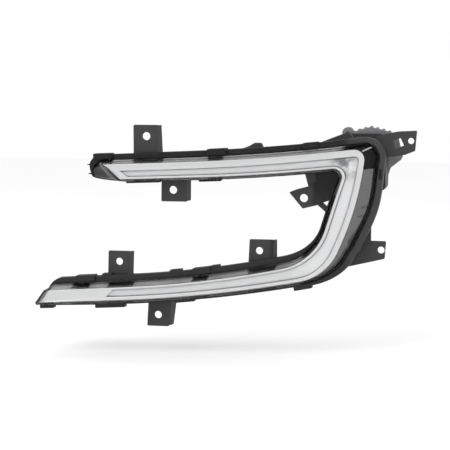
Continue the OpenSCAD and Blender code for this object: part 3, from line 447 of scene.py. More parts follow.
def wallFoot(s, side, deep=None):
    c = sections
    past = max(0, (deep or c["neck"]) - c["neck"]) / (law(c["depth"], s) - c["neck"])
    return onWall(s, side, -c["neckInset"] - c["wall"] / 2 - c["draft"] * past)


def plateFoot(s, side, y):
    c = sections
    inRim = onWall(s, side, c["rimGap"] + bySide("rim", s, side) / 2)
    return inRim if y - faceY(inRim[0]) < c["ledge"] + 0.6 else wallFoot(s, side)


def tabY(x):
    return faceY(x) + lampLines["faceSetback"]


def midBand(s):
    return (onWall(s, 1) + onWall(s, -1)) / 2


# black moulded tray with its rims, then all that is moulded onto it
trayShape = {
    "floorRound": 2.0, "rimRound": 1.1, "rimBackRound": 0.7, "grooveRound": 0.3, "neckRound": 0.8, "ledgeRound": 0.2,
    "insideRound": 1.0, "floorOverlap": 3,
}


def trayProfile(s, side):
    c, t = sections, trayShape
    rim = bySide("rim", s, side) + c["rimGap"]
    low, wall, deep = -c["neckInset"] - c["draft"], c["wall"], law(c["depth"], s)
    rounding = min(t["rimRound"], 0.45 * (rim - c["rimGap"]))
    over = t["floorOverlap"]
    return [(1, low - over, deep, 0), (1, low, deep, t["floorRound"]), (1, -c["neckInset"], c["neck"], t["neckRound"]),
            (1, rim, c["rimBack"], t["rimBackRound"]), (1, rim, c["lensDepth"], rounding),
            (1, c["rimGap"], c["lensDepth"], t["grooveRound"]), (1, c["rimGap"], c["ledge"], t["ledgeRound"]),
            (1, -c["neckInset"] - wall, c["ledge"], t["grooveRound"]),
            (1, low - wall, deep - wall, t["insideRound"]), (1, low - wall - over, deep - wall, 0)]


tabs = {
    "thickness": 3.0, "wallDepth": 13.0, "wallThickness": 2.0, "lean": math.radians(14), "round": 1.2,
    "leftWall": (0.4, 3.5, 4.0),  # how far behind the face, depth at its end, how far it stops short
    "rightWall": (0.15, 9.0, 0.4),  # the same, the last as a share of the tip's rounding
    # upper arm, way, hole x, reach, hole radius, tip left and right, root left and right, past the hole, corner
    "onArms": [
        (True, 1, -156.1, 25, 4.1, -13.3, 11.7, -12.6, 12.6, 11.3, 0.8),
        (True, -1, -129.3, 14.4, 4.0, -12.2, 14.4, -11.6, 12.4, 11.6, 1.5),
        (False, 1, -184.4, 21.4, 3.7, -11.2, 11.4, -13.8, 6.6, 10.8, 0.8),
        (False, -1, -145, 19.2, 3.8, -11.4, 12.2, -9.0, 15.3, 11.5, 3),
        (False, 1, -43.5, 18.2, 3.7, -9.9, 14.6, -11.1, 14.6, 11.4, 0.8)],
}


def armTab(bm, upper, way, x, reach, holeR, tipL, tipR, rootL, rootR, past, corner):
    side = way if upper else -way
    y = tabY(x)
    deep, half, rounding = tabs["wallDepth"], vec(tabs["wallThickness"] / 2, 0), tabs["round"]

    def foot(dx):
        return plateFoot(armStation(upper, side, x + dx), side, y)
    hole = vec(x, foot(0)[1] + way * reach)
    left, right = foot(rootL), foot(rootR)
    a, b = hole + vec(tipL, way * past), hole + vec(tipR, way * past)
    roots = [foot(lerp(rootL, rootR, f / 8)) for f in range(8, -1, -1)]
    slab(bm, roundedOutline([(*a, rounding), (*b, max(corner, rounding)), *roots]), y, y + tabs["thickness"],
         [circle(hole, holeR)])
    behind, end, short = tabs["leftWall"]
    gusset(bm, left + half, a + half - vec(0, way * short), y + behind, deep, end)
    behind, end, short = tabs["rightWall"]
    gusset(bm, right - half, b - half - vec(0, way * short * corner), y + behind, deep, end, -way * tabs["lean"])


cornerPlate = {
    "holeRadius": 4.1,
    "stations": (5.6, 5.4, 5.12, 4.8, 4.4, 4, 3.8, 3.6, 3.3, 3, 2.6, 2.2),  # its roots along the inner edge
    "lastRoot": 11,  # in x
    "below": ((12.4, -7.1, 3), (18.4, -4.5, 1)),
    "above": ((12.9, 15.9), (5.7, 12.3, 2), (-7.9, 8.5, 3), (-14.9, 5.6, 0.8), (-1.2, -10.5, 0.8)),
    "block": ((3.9, 12), (5, 11.8), (12.8, 15.3), (12.8, 17.9)),
    "blockRoots": (-0.6, 8),  # in x
    "brace": ((23, -8.6), (17, -3.5), (12.4, -6), (22.4, -14.5)),
    "braceRoots": (-16, -11),  # in z
    "depths": (9.5, 5.5),  # of the block and the brace, behind the plate
    "stiffener": (4.6, (12, 8), 6),  # station, end, depth
    "overlap": 0.5,
}


def cornerTab(bm):
    p, thick = cornerPlate, tabs["thickness"]
    seat = thick - p["overlap"]
    roots = [plateFoot(s, -1, 0) for s in (*p["stations"], armStation(True, -1, p["lastRoot"]))]
    slab(bm, roundedOutline([*p["below"], *roots, *p["above"]]), 0, thick, [circle((0, 0), p["holeRadius"])])
    a, b = (wallFoot(armStation(True, -1, x), -1) for x in p["blockRoots"])
    slab(bm, [a, *p["block"], b], seat, thick + p["depths"][0])
    slab(bm, [*p["brace"], *(plateFoot(legStation(-1, z), -1, seat) for z in p["braceRoots"])], seat,
         thick + p["depths"][1])
    s, end, deep = p["stiffener"]
    gusset(bm, plateFoot(s, -1, 0), vec(*end), p["overlap"], deep, thick + p["overlap"])


legPlate = {
    "hole": (75.3, -52.6, 3.5),  # x, z, radius
    "behind": 3.4, "rootDepth": 33,
    "top": 8.9,  # its flat top edge, above the hole
    "roots": (3.4, -6, -25.9),  # from the top edge: the first root, then the ends of the rest
    "outline": ((-33, -17.6), (3.6, -8.8, 1.2), (4.9, 8.9, 1.2)),
    "lowWall": (-22, -14), "wallEnds": ((3, 7), (2, -8.2)), "wallDepth": 11.0,
    "web": (19, (-10.1, 24.1), (-10.3, 7.9)), "webDepths": (-1, 3),
}


def legTab(bm):
    p = legPlate
    x, z, holeR = p["hole"]
    y, top = tabY(x) + p["behind"], z + p["top"]

    def at(dx, dz, *rounding):
        return (x + dx, z + dz, *rounding)

    def root(rise):
        return wallFoot(legStation(1, top + rise), 1, p["rootDepth"])
    first, start, last = p["roots"]
    roots = [root(rise) for rise in (first, *np.linspace(start, last, 4))]
    slab(bm, roundedOutline(roots + [at(*q) for q in p["outline"]]), y, y + tabs["thickness"],
         [circle((x, z), holeR)])
    behind, end = tabs["leftWall"][:2]
    for foot, tip in zip((roots[0] - vec(0, 2), vec(*at(*p["lowWall"]))), p["wallEnds"]):
        gusset(bm, foot, vec(*at(*tip)), y + behind, p["wallDepth"], end)
    rise, *ends = p["web"]
    slab(bm, [root(rise), *(at(*q) for q in ends), roots[1]], *(y + d for d in p["webDepths"]))


bracket = {
    "hole": (102.8, 56.3, 3.1),  # x, z, radius
    "behind": 9.0, "rootDepth": 43,
    "stations": (4.6, 4.3, 4, 3.8, 3.6, 3.4, 3.2),
    # from the outer corner
    "outline": ((8.7, 11.2), (26.7, 14.6), (45.6, 15.5, 0.8), (43.9, -4.5, 0.8), (34, -8.6, 4), (25, -10, 4),
                (15, -11.3)),
    "window": ((22.3, 5.8, 0.6), (29.3, 8.1, 0.6), (32.8, 0.9, 0.6), (24.4, -2.7, 0.6)),
    "flange": ((8.7, 11.2), (26.7, 14.6), (44.6, 15.5)), "flangeHeight": 2.0, "flangeDepths": (0.2, 10),
}


def cornerBracket(bm):
    p = bracket
    x, z, holeR = p["hole"]
    y = tabY(x) + p["behind"]

    def placed(points, drop=0):
        cx, cz = lampLines["corner"]
        return [(cx + q[0], cz + q[1] - drop, *q[2:]) for q in points]
    roots = [wallFoot(s, 1, p["rootDepth"]) for s in p["stations"]]
    slab(bm, roundedOutline(roots + placed(p["outline"])), y, y + tabs["thickness"],
         [circle((x, z), holeR), roundedOutline(placed(p["window"]))])
    slab(bm, placed(p["flange"]) + placed(p["flange"], p["flangeHeight"])[::-1],
         *(y + d for d in p["flangeDepths"]))


tipPins = {
    "places": ((-207.5, 33.0), (-206.5, 23.8)),  # x and z of each root
    "length": 7.4, "rise": -0.3, "halfWidth": 1.5, "halfTip": 0.25, "depth": (21.0, 23.0),
}


def tipPin(bm, x, z):
    # a small pointed stop beyond the upper tip
    p = tipPins
    tip, high, half = x - p["length"], z + p["rise"], p["halfTip"]
    slab(bm, [(x, z - p["halfWidth"]), (x, z + p["halfWidth"]), (tip, high + half), (tip, high - half)],
         *(faceY(x) + d for d in p["depth"]), edge=0.2)


clips = {
    "rounding": 0.5, "cornerRound": 0.9, "sunk": 0.3,
    # upper arm, way, x, length, how far it stands proud, front depth, back depth
    "onRims": [
        (True, 1, -196, 19, 1.2, 17, 28), (True, 1, -83, 19, 1.4, 16, 28), (True, 1, 8.5, 15, 0.9, 16, 28),
        (True, -1, -160.5, 34, 1.2, 20, 28), (True, -1, -91, 22, 1.6, 20, 28), (False, 1, -221, 20, 1.5, 17, 28),
        (False, 1, -199.5, 10, 2.2, 20, 28), (False, 1, -98, 18, 1.5, 17, 28), (False, 1, -126, 12, 2, 20, 28),
        (False, 1, -84, 9, 2, 20, 28), (False, -1, -255, 15, 2.8, 20, 28), (False, -1, -188, 31, 3.2, 20, 28),
        (False, -1, -116, 20, 1.6, 20, 28), (False, -1, 19, 18, 2.4, 20, 28)],
}


def rimClip(bm, upper, way, x, length, proud, front, back):
    side = way if upper else -way
    s = armStation(upper, side, x)
    base = onWall(s, side, sections["rimGap"])
    run = unit(edgePoint(edges[side], s + 0.01) - edgePoint(edges[side], s - 0.01))
    out = vec(-run[1], run[0])
    out = out if (out @ (base - midBand(s))) > 0 else -out
    reach = bySide("rim", s, side) + proud
    slope = (base[0] - lowerTipX) / lampLines["wrapRadius"]

    def place(u, v, n):
        p = base + run * u + out * v
        return p[0], faceY(base[0]) + n + slope * (p[0] - base[0]), p[1]
    half = length / 2
    r, sunk = clips["cornerRound"], clips["sunk"]
    slab(bm, roundedOutline([(-half, sunk), (half, sunk), (half, reach, r), (-half, reach, r)]), front, back,
         edge=clips["rounding"], place=place)


back = {
    "ribStations": (0.45, 1.1, 1.6, 2.15, 8.3, 9.1, 9.5, 9.9, 10.35, 10.75),
    "ribHeight": 3.0,
    "lug": {"x": -47.0, "height": 14.0, "feet": (-48, 8.5), "top": ((-8.8, -3.1, 4), (-3.7, 0, 1.5), (3.4, 0, 3)),
            "depths": (-6.5, -0.5)},  # from the tray's back
    "boss": {"fromCorner": (-23.0, 11.5), "foot": -58, "top": ((-3, 1.5), (2, 3.1), (4.1, 0.6)), "station": 2.98,
             "depths": (-5, 2)},
    "footDepth": 3,  # how far ahead of the back the two are rooted
    "case": (54.5, 33.9, 42.96),  # middle of the driver case, and its front
    "plinth": (14.0, -21.0, 15.0),
    "bosses": {"places": ((-9, -14), (7, -14), (-9, 11), (8, 11)), "radius": 4, "bore": 1.75},
    "pillars": {"radius": 3, "bore": 1.35, "front": 1.75},  # under the boards
    "spigot": (9.7, 5.5, 3.5, 5.0),  # station, radius, bore, length
    "ledCounts": (14, 6, 14),
    "boardEnds": ((-167.0, 45.0), (24.9, -46.1), (0.0, -185.0)),
    "boardBack": 21,  # behind the face
}


def backParts(bm):
    c, wall = sections, sections["wall"]
    for s in back["ribStations"]:
        a, b = (onWall(s, side, -c["neckInset"] - c["draft"] - wall / 2) for side in (1, -1))
        y = faceY((a[0] + b[0]) / 2) + law(c["depth"], s)
        slab(bm, [a - vec(1, 0), a + vec(1, 0), b + vec(1, 0), b - vec(1, 0)], y - wall / 2, y + back["ribHeight"])
    arm = c["depth"][0]
    deep = arm - back["footDepth"]

    def foot(x):
        return wallFoot(armStation(True, 1, x), 1, deep)

    def behind(x, depths):
        return [faceY(x) + arm + d for d in depths]
    lug = back["lug"]
    x = lug["x"]
    top = foot(x)[1] + lug["height"]
    a, b = (foot(x + dx) for dx in lug["feet"])
    slab(bm, roundedOutline([a, *((x + dx, top + dz, r) for dx, dz, r in lug["top"]), b]), *behind(x, lug["depths"]),
         edge=0.7)
    boss = back["boss"]
    x, z = vec(*lampLines["corner"]) + vec(*boss["fromCorner"])
    end = wallFoot(boss["station"], 1, deep)
    slab(bm, [foot(x + boss["foot"]), *((x + dx, z + dz) for dx, dz in boss["top"]), end],
         *behind(x, boss["depths"]), edge=0.6)
    cx, cz, front = back["case"]
    half, low, high = back["plinth"]
    bay = c["depth"][4] - wall / 2
    outer, inner = ([(cx + i * (half - inset), cz + (low + inset if j < 0 else high - inset))
                     for i, j in ((-1, -1), (1, -1), (1, 1), (-1, 1))] for inset in (0, wall))

    def sloped(u, v, n):
        return u, lerp(faceY(u) + bay, front, n), v
    slab(bm, outer, 0, 1, [inner], 0, sloped)
    post = back["bosses"]
    for dx, dz in post["places"]:
        at = (cx + dx, cz + dz)
        slab(bm, circle(at, post["radius"], 32), faceY(at[0]) + bay, front, [circle(at, post["bore"], 24)], 0.2)
    post = back["pillars"]
    s, r, bore, length = back["spigot"]
    at = midBand(s)
    y = faceY(at[0]) + law(c["depth"], s)
    slab(bm, circle(at, r), y - wall / 2, y + length, [circle(at, bore)], 0.3)
    for (a, b), count, kind in zip(back["boardEnds"], back["ledCounts"], (True, None, False)):
        for f in (1 / count, 0.5, 1 - 1 / count):
            along = lerp(a, b, f)
            s = legStation(1, along) if kind is None else armStation(kind, 1, along)
            at = midBand(s)
            turn = math.atan((at[0] - lowerTipX) / lampLines["wrapRadius"])
            ahead, cos, sin = faceY(at[0]) + back["boardBack"], math.cos(turn), math.sin(turn)
            end = (law(c["depth"], s) - wall / 2 - back["boardBack"]) * cos

            def upright(u, v, n):
                return at[0] + u * cos - n * sin, ahead + u * sin + n * cos, at[1] + v
            slab(bm, circle((0, 0), post["radius"], 24), post["front"], end, [circle((0, 0), post["bore"], 20)], 0.2,
                 upright)


def housingMesh():
    tray = bandMesh("tray", trayProfile, False, 5)
    bm = bmesh.new()
    bm.from_mesh(tray)
    bpy.data.meshes.remove(tray)
    for row in tabs["onArms"]:
        armTab(bm, *row)
    cornerTab(bm)
    legTab(bm)
    cornerBracket(bm)
    for row in clips["onRims"]:
        rimClip(bm, *row)
    for place in tipPins["places"]:
        tipPin(bm, *place)
    backParts(bm)
    mesh = bpy.data.meshes.new("rearHousing")
    bm.to_mesh(mesh)
    bm.free()
    return tidyMesh(mesh, 40)


def inScene(name, data):
    made = bpy.data.objects.new(name, data)
    bpy.context.scene.collection.objects.link(made)
    return made


# rounded copies of the solids that show from behind
def evaluated(mesh, *modifiers):
    # the mesh after its modifiers, each given as its kind and its settings
    carrier = inScene("carrier", mesh)
    for kind, settings in modifiers:
        made = carrier.modifiers.new(kind.lower(), kind)
        for key, value in settings.items():
            if hasattr(made, key):
                setattr(made, key, value)
            else:
                made[key] = value
    graph = bpy.context.evaluated_depsgraph_get()
    out = bpy.data.meshes.new_from_object(carrier.evaluated_get(graph))
    bpy.data.objects.remove(carrier)
    return out


def evenShade(mesh):
    return evaluated(mesh, ("WEIGHTED_NORMAL", {"keep_sharp": True, "weight": 60}))


def roundedCopy(name, node, width):
    bm = bmesh.new()
    bm.from_mesh(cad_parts[node].data)
    bmesh.ops.remove_doubles(bm, verts=bm.verts, dist=1e-6)
    bmesh.ops.dissolve_limit(bm, angle_limit=math.radians(0.6), verts=bm.verts, edges=bm.edges)
    mesh = bpy.data.meshes.new(name)
    bm.to_mesh(mesh)
    bm.free()
    mesh.shade_smooth()
    return evenShade(evaluated(mesh, ("BEVEL", {"width": width * mm, "segments": 2, "limit_method": "ANGLE",
                                                "angle_limit": math.radians(38), "miter_outer": "MITER_ARC"})))


def underscored(name):
    return "".join("_" + c.lower() if c.isupper() else c for c in name)


def addPiece(name, mesh, finish, node):
    piece = inScene(name, mesh)
    mesh.materials.clear()
    mesh.materials.append(finish)
    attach(piece, "root")
    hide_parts(node)
    underscored(finish.name)


class Sock:
    # a node's output that can be used in sums
    def __init__(self, maker, socket):
        self.maker, self.socket = maker, socket

    def math(self, operation, a, b):
        return self.maker.node("ShaderNodeMath", {"operation": operation}, {0: a, 1: b})

    def __add__(self, other): return self.math("ADD", self, other)
    def __radd__(self, other): return self.math("ADD", other, self)
    def __sub__(self, other): return self.math("SUBTRACT", self, other)
    def __rsub__(self, other): return self.math("SUBTRACT", other, self)
    def __mul__(self, other): return self.math("MULTIPLY", self, other)
    def __rmul__(self, other): return self.math("MULTIPLY", other, self)


class NodeMaker:
    # adds nodes to a tree: kind, settings, then sockets by name or number
    def __init__(self, tree):
        self.tree = tree

    def node(self, kind, settings=None, sockets=None, out=0):
        made = self.tree.nodes.new(kind)
        for key, value in (settings or {}).items():
            if key == "stops":
                for element, (at, colour) in zip(made.color_ramp.elements, value):
                    element.position = at
                    element.color = (*colour, 1)
            else:
                setattr(made, key, value)
        for key, value in (sockets or {}).items():
            for one in value if isinstance(value, list) else [value]:
                if isinstance(one, Sock):
                    self.tree.links.new(one.socket, made.inputs[key])
                else:
                    made.inputs[key].default_value = one
        return Sock(self, made.outputs[out])


# screws, as Geometry Nodes: one head and shank, set on points and turned by a fixed seed
screws = {
    "case_screws": {"Head Radius": 3.2, "Head Height": 2.2, "Shank Radius": 1.6, "Tilt": -90.0},
    "sink_screws": {"Head Radius": 2.9, "Head Height": 2.2, "Shank Radius": 1.5, "Tilt": -90.0},
    "board_screws": {"Head Radius": 2.4, "Head Height": 1.5, "Shank Radius": 1.2, "Tilt": 90.0},
    "board_mount_screws": {"Head Radius": 2.4, "Head Height": 1.5, "Shank Radius": 1.2, "Tilt": 90.0},
}


class Shaper(NodeMaker):
    # a geometry tree with an input for each size
    def __init__(self, name, sizes):
        super().__init__(bpy.data.node_groups.new(name, "GeometryNodeTree"))
        face = self.tree.interface
        face.new_socket("Geometry", in_out="OUTPUT", socket_type="NodeSocketGeometry")
        for key, kind in (("Points", "Geometry"), *((size, "Float") for size in sizes), ("Finish", "Material")):
            face.new_socket(key, in_out="INPUT", socket_type="NodeSocket" + kind)
        self.given = self.tree.nodes.new("NodeGroupInput")

    def size(self, name):
        return Sock(self, self.given.outputs[name])

    def vector(self, x=0.0, y=0.0, z=0.0):
        return self.node("ShaderNodeCombineXYZ", {}, {0: x, 1: y, 2: z})

    def moved(self, geometry, **given):
        return self.node("GeometryNodeTransform", {}, {"Geometry": geometry, **given})


def screwTree(sizes):
    t = Shaper("screwMaker", [*sizes, "Length"])
    r, h, length = t.size("Head Radius"), t.size("Head Height"), t.size("Length")
    flange = t.node("GeometryNodeMeshCylinder", {"fill_type": "NGON"}, {"Vertices": 36, "Radius": r, "Depth": h * 0.4})
    flange = t.moved(flange, Translation=t.vector(z=h * 0.2))
    dome = t.node("GeometryNodeMeshUVSphere", {}, {"Segments": 36, "Rings": 20, "Radius": 1.0})
    dome = t.moved(dome, Translation=t.vector(z=h * 0.3), Scale=t.vector(r * 0.97, r * 0.97, h * 0.7))
    head = t.node("GeometryNodeMeshBoolean", {"operation": "UNION"}, {"Mesh": [flange, dome]})
    arms = [t.moved(t.node("GeometryNodeMeshCube", {}, {"Size": t.vector(r * a, r * b, h * 1.1)}),
                    Translation=t.vector(z=h)) for a, b in ((1.15, 0.24), (0.24, 1.15))]
    recess = t.node("GeometryNodeMeshBoolean", {"operation": "UNION"}, {"Mesh": arms})
    head = t.node("GeometryNodeMeshBoolean", {"operation": "DIFFERENCE"}, {"Mesh 1": head, "Mesh 2": recess})
    shank = t.node("GeometryNodeMeshCylinder", {"fill_type": "NGON"},
                   {"Vertices": 24, "Radius": t.size("Shank Radius"), "Depth": length})
    shank = t.moved(shank, Translation=t.vector(z=length * -0.5))
    whole = t.node("GeometryNodeJoinGeometry", {}, {0: [head, shank]})
    whole = t.moved(whole, Rotation=t.vector(t.size("Tilt")))
    spin = t.node("FunctionNodeRandomValue", {"data_type": "FLOAT"}, {2: 0.0, 3: 1.5, 8: 7}, out=1)
    placed = t.node("GeometryNodeInstanceOnPoints", {}, {"Points": t.size("Points"), "Instance": whole,
                                                         "Rotation": t.vector(y=spin)})
    real = t.node("GeometryNodeRealizeInstances", {}, {0: placed})
    done = t.node("GeometryNodeSetMaterial", {}, {"Geometry": real, "Material": t.size("Finish")})
    t.tree.links.new(done.socket, t.tree.nodes.new("NodeGroupOutput").inputs[0])
    return t.tree


def islands(mesh):
    # lowest and highest corner of each loose part
    bm = bmesh.new()
    bm.from_mesh(mesh)
    bmesh.ops.remove_doubles(bm, verts=bm.verts, dist=1e-6)
    seen, out = set(), []
    for start in bm.verts:
        if start in seen:
            continue
        seen.add(start)
        group, todo = [], [start]
        while todo:
            v = todo.pop()
            group.append(v.co[:])
            for e in v.link_edges:
                other = e.other_vert(v)
                if other not in seen:
                    seen.add(other)
                    todo.append(other)
        out.append((np.min(group, axis=0), np.max(group, axis=0)))
    bm.free()
    return out


def screwsMesh(tree, node, sizes, finish):
    facing = -1 if sizes["Tilt"] > 0 else 1
    found = islands(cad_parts[node].data)
    head = sizes["Head Height"] * mm
    points = [((lo[0] + hi[0]) / 2, (hi[1] if facing > 0 else lo[1]) - facing * head, (lo[2] + hi[2]) / 2)
              for lo, hi in found]
    cloud = bpy.data.meshes.new(node + "Points")
    cloud.from_pydata(points, [], [])
    values = {key: math.radians(v) if key == "Tilt" else v * mm for key, v in sizes.items()}
    values.update({"Length": min(hi[1] - lo[1] for lo, hi in found) - head, "Finish": finish})
    inputs = {item.identifier: values[item.name] for item in tree.interface.items_tree if item.name in values}
    mesh = evaluated(cloud, ("NODES", {"node_group": tree, **inputs}))
    mesh.shade_smooth()
    mesh.set_sharp_from_angle(angle=math.radians(35))
    return mesh


# finishes
class Wires(NodeMaker):
    def place(self):
        return self.node("ShaderNodeTexCoord", out=3)

    def noise(self, scale, detail=2.0, roughness=0.5):
        return self.node("ShaderNodeTexNoise", {}, {"Vector": self.place(), "Scale": scale, "Detail": detail,
                                                    "Roughness": roughness})

    def blend(self, factor, a, b):
        a, b = (c if isinstance(c, Sock) else (*c, 1) for c in (a, b))
        return self.node("ShaderNodeMix", {"data_type": "RGBA"}, {0: factor, 6: a, 7: b}, out=2)

    def axis(self, k):
        # x, y or z of the lamp in millimetres
        return self.node("ShaderNodeSeparateXYZ", {}, {0: self.place()}, out=k) * 1000.0

    def depth(self):
        # millimetres behind the wrapped face
        past = self.axis(0) - float(lowerTipX)
        return (self.axis(1) + lampLines["faceSetback"] - (past * past - float(lowerTipX) ** 2)
                * (0.5 / lampLines["wrapRadius"]))

    def above(self, value, limit, soft=0.3):
        # 0 below the limit, 1 above it
        return self.node("ShaderNodeMapRange", {"interpolation_type": "SMOOTHSTEP"},
                         {0: value, 1: limit - soft, 2: limit + soft})

    def within(self, value, low, high, soft=0.3):
        return self.above(value, low, soft) * (1 - self.above(value, high, soft))

    def bump(self, height, distance, strength=1.0):
        return self.node("ShaderNodeBump", {}, {"Strength": strength, "Distance": distance, "Height": height})


def newFinish(name, fixed):
    finish = bpy.data.materials.new(name)
    finish.use_nodes = True
    shader = finish.node_tree.nodes["Principled BSDF"]
    for key, value in fixed.items():
        shader.inputs[key].default_value = value
    wires = Wires(finish.node_tree)

    def link(**given):
        names = {"colour": "Base Color", "roughness": "Roughness", "normal": "Normal", "alpha": "Alpha"}
        for key, value in given.items():
            finish.node_tree.links.new(value.socket, shader.inputs[names[key]])
    return finish, wires, link


surfaces = {
    # fixed values, wide cloud, fine grain, their shares of the roughness, relief in metres
    "moulded": ({"IOR": 1.5}, (38.0, 3.0), (2600.0, 3.0, 0.65), 0.12, 0.06, 0.00002),
    "vapoured": ({"Metallic": 1.0}, (45.0, 2.0), (5200.0, 2.0, 0.7), 0.1, 0.0, 0.000008),
    "cast": ({"Metallic": 1.0}, (55.0, 3.0), (700.0, 4.0, 0.7), 0.2, 0.1, 0.00006),
    "plated": ({"Metallic": 1.0}, (420.0, 3.0), (420.0, 3.0), 0.2, 0.0, 0.00002),
}


def grained(name, kind, rough, **more):
    # a finish with faint wide clouds and a fine grain
    fixed, cloud, grain, byGrain, byCloud, relief = surfaces[kind]
    finish, w, link = newFinish(name, {**fixed, **more})
    broad, fine = w.noise(*cloud), w.noise(*grain)
    link(roughness=rough + byGrain * fine - byCloud * broad, normal=w.bump(fine, relief))
    return finish, w, link, broad


def plainSurface(name, kind, dark, light, rough):
    finish, w, link, broad = grained(name, kind, rough)
    link(colour=w.blend(broad, dark, light))
    return finish


# painted reflections: what the glossy walls round the bright band mirror, the room broken by the tabs and clips beside
# them, is painted into their colour and opacity
mirrored = {
    "rimDepth": 26.2,  # rims and clips lie ahead of this depth, the tabs behind it
    "legFrom": 42.0,  # x beyond which the leg begins
    "wallDepth": 18.0,  # the painted reflection of the room ends here, and the shaded gap beside the rim is left black
    # x spans where the painted reflection shows the tabs and clips as dark
    "upperDark": ((-202, -185.6), (-165.3, -135.3), (-90.8, -76.1)),
    "lowerDark": ((-228.8, -210.1), (-191.6, -165.1), (-106.8, -90.9), (-51.5, -24.2)),
    "blackCorner": (30.2, 36.0),  # lower end in z, inner end in x of the corner, where the painted reflections stop and the lens mirrors less
    "upperTip": -192.0, "lowerTip": -250.0,
    "maskUpper": (-195.1, 36.7, -177.6, 17.6),  # the black ends of the lens start along these lines, x and z
    "maskLower": (-249.9, -90.4, -261.1, -107.0),
    "flank": (5.0, 12.0, 18.6),  # depths where the lens flank starts, turns bright above, and ends
    "highlightStreak": (59.2, 48.0, 70.6, 53.0), # x and z of the ends of a painted highlight streak on the trim
    "legMarks": ((-9.2, -6.4), (-18.2, -15.4)),  # z of the marks across the leg's wall
    # painted tones: the dimmer reflection on the trim at the upper tip, the highlight streak, and the shade in the
    # rim's slots
    "tipReflectionTone": (0.035,) * 3, "highlightTone": (0.5,) * 3, "slotShadeTone": (0.001,) * 3,
    "rimSlots": ((19.0, 29.3), (68.6, 72.2), (73.6, 76.6)),  # z, then x of each slot of the leg's rim, where the slot's shade is painted black
}


def cornerMask(w):
    lowEnd, innerEnd = mirrored["blackCorner"]
    return w.above(w.axis(2), lowEnd, 0.4) * w.above(w.axis(0), innerEnd, 6.0)


def upperHalf(w):
    return w.above(w.axis(2), 0.0, 12.0)


def legMask(w, upper):
    return w.above(w.axis(0) + 40 * (1 - upper), mirrored["legFrom"], 4.0)


def beyond(w, line):
    # millimetres to the left of a line that runs down through two points
    xa, za, xb, zb = line
    long = math.hypot(xb - xa, zb - za)
    return ((w.axis(0) - xa) * (zb - za) - (w.axis(2) - za) * (xb - xa)) * (1 / long)


# spans where the painted reflection shows the tabs and clips as dark
def darkSpans(w, upper):
    dark = 0.0
    for spans, side in ((mirrored["upperDark"], upper), (mirrored["lowerDark"], 1 - upper)):
        for low, high in spans:
            dark = dark + w.within(w.axis(0), low, high, 0.6) * side
    return dark


housing = {
    # the plastic's own tone with its clouds, then the tone of the painted shade on the front rims of the arms, and the
    # share of that painted shade on the lower arm
    "tone": (0.031, 0.031, 0.0315), "clouds": 1.25, "rim": (0.006, 0.006, 0.006), "lowerRimShade": 0.55,
    "rough": 0.5, "shine": 0.25,
}


def housingPlastic(name):
    # the tabs and back are grained; painted shade darkens the rims in front along the arms, most of all on the upper
    # one, and fills the slots of the leg's rim
    h = housing
    finish, w, link, cloud = grained(name, "moulded", h["rough"], **{"Specular IOR Level": h["shine"]})
    front = 1 - w.above(w.depth(), mirrored["rimDepth"], 0.4)
    # painted shade on the front rims of the arms: full on the upper arm, partial on the lower
    arms = 1 - w.above(w.axis(0), mirrored["legFrom"], 6.0)
    arms = arms * (h["lowerRimShade"] + (1 - h["lowerRimShade"]) * upperHalf(w))
    # painted shade in the slots of the leg's rim
    tall, inner, outer = mirrored["rimSlots"]
    slotShade = front * w.within(w.axis(2), *tall) * (w.within(w.axis(0), *inner) + w.within(w.axis(0), *outer))
    tones = w.blend(cloud, h["tone"], tuple(h["clouds"] * c for c in h["tone"]))
    link(colour=w.blend(slotShade, w.blend(front * arms, tones, h["rim"]), mirrored["slotShadeTone"]))
    return finish


trim = {
    # the trim's own black, then the painted reflections of the room on its walls and on the leg
    "black": (0.002, 0.002, 0.002), "wall": (0.085, 0.083, 0.08), "legWall": (0.062, 0.06, 0.06),
    "strip": (0.15, 0.145, 0.14),  # a lighter painted reflection along the upper arm
    "clouds": 1.3, "rough": 0.3, "markDepth": 11.0,
}


def trimPlastic(name):
    # piano black, with a painted reflection of the room along its walls
    finish, w, link = newFinish(name, {"IOR": 1.12, "Coat Weight": 0.0})
    m, c = mirrored, trim
    x, z, deep = w.axis(0), w.axis(2), w.depth()
    upper = upperHalf(w)
    leg = legMask(w, upper)
    dark = darkSpans(w, upper)
    for low, high in m["legMarks"]:
        dark = dark + w.within(z, low, high, 0.4) * leg * w.above(deep, c["markDepth"], 1.0)
    broken = w.noise(70.0, 3.0)
    # the painted reflection of the room, broken up by clouds, darker on the leg and lighter along the upper arm
    room = w.blend(leg, w.blend(broken, c["wall"], tuple(c["clouds"] * v for v in c["wall"])), c["legWall"])
    room = w.blend(upper * (1 - leg), room, c["strip"])
    # a dimmer painted reflection at the upper tip
    room = w.blend(upper * (1 - w.above(x, m["upperTip"], 3.0)), room, m["tipReflectionTone"])
    # the painted reflection shows ahead of the wall depth, outside the corner and the dark spans, and past the lower
    # tip
    lit = (1 - w.above(deep, m["wallDepth"], 0.6)) * (1 - cornerMask(w)) * (1 - dark) * w.above(x, m["lowerTip"], 1.0)
    # a painted highlight streak
    highlightStreak = w.within(beyond(w, m["highlightStreak"]), -0.5, 0.5, 0.4) * w.within(x, *m["highlightStreak"][::2], 1.0)
    colour = w.blend(lit, c["black"], room)
    link(colour=w.blend(highlightStreak, colour, m["highlightTone"]), roughness=c["rough"] + 0.1 * broken,
         normal=w.bump(w.noise(60.0, 1.0), 0.00003))
    return finish


def glossPlastic(name, dark, light, rough):
    # smooth, under a clear coat
    finish, w, link = newFinish(name, {"IOR": 1.52, "Coat Weight": 0.6, "Coat Roughness": 0.03})
    cloud = w.noise(30.0, 2.0)
    link(colour=w.blend(cloud, dark, light), roughness=rough + 0.05 * w.noise(180.0, 3.0),
         normal=w.bump(w.noise(60.0, 1.0), 0.00003))
    return finish


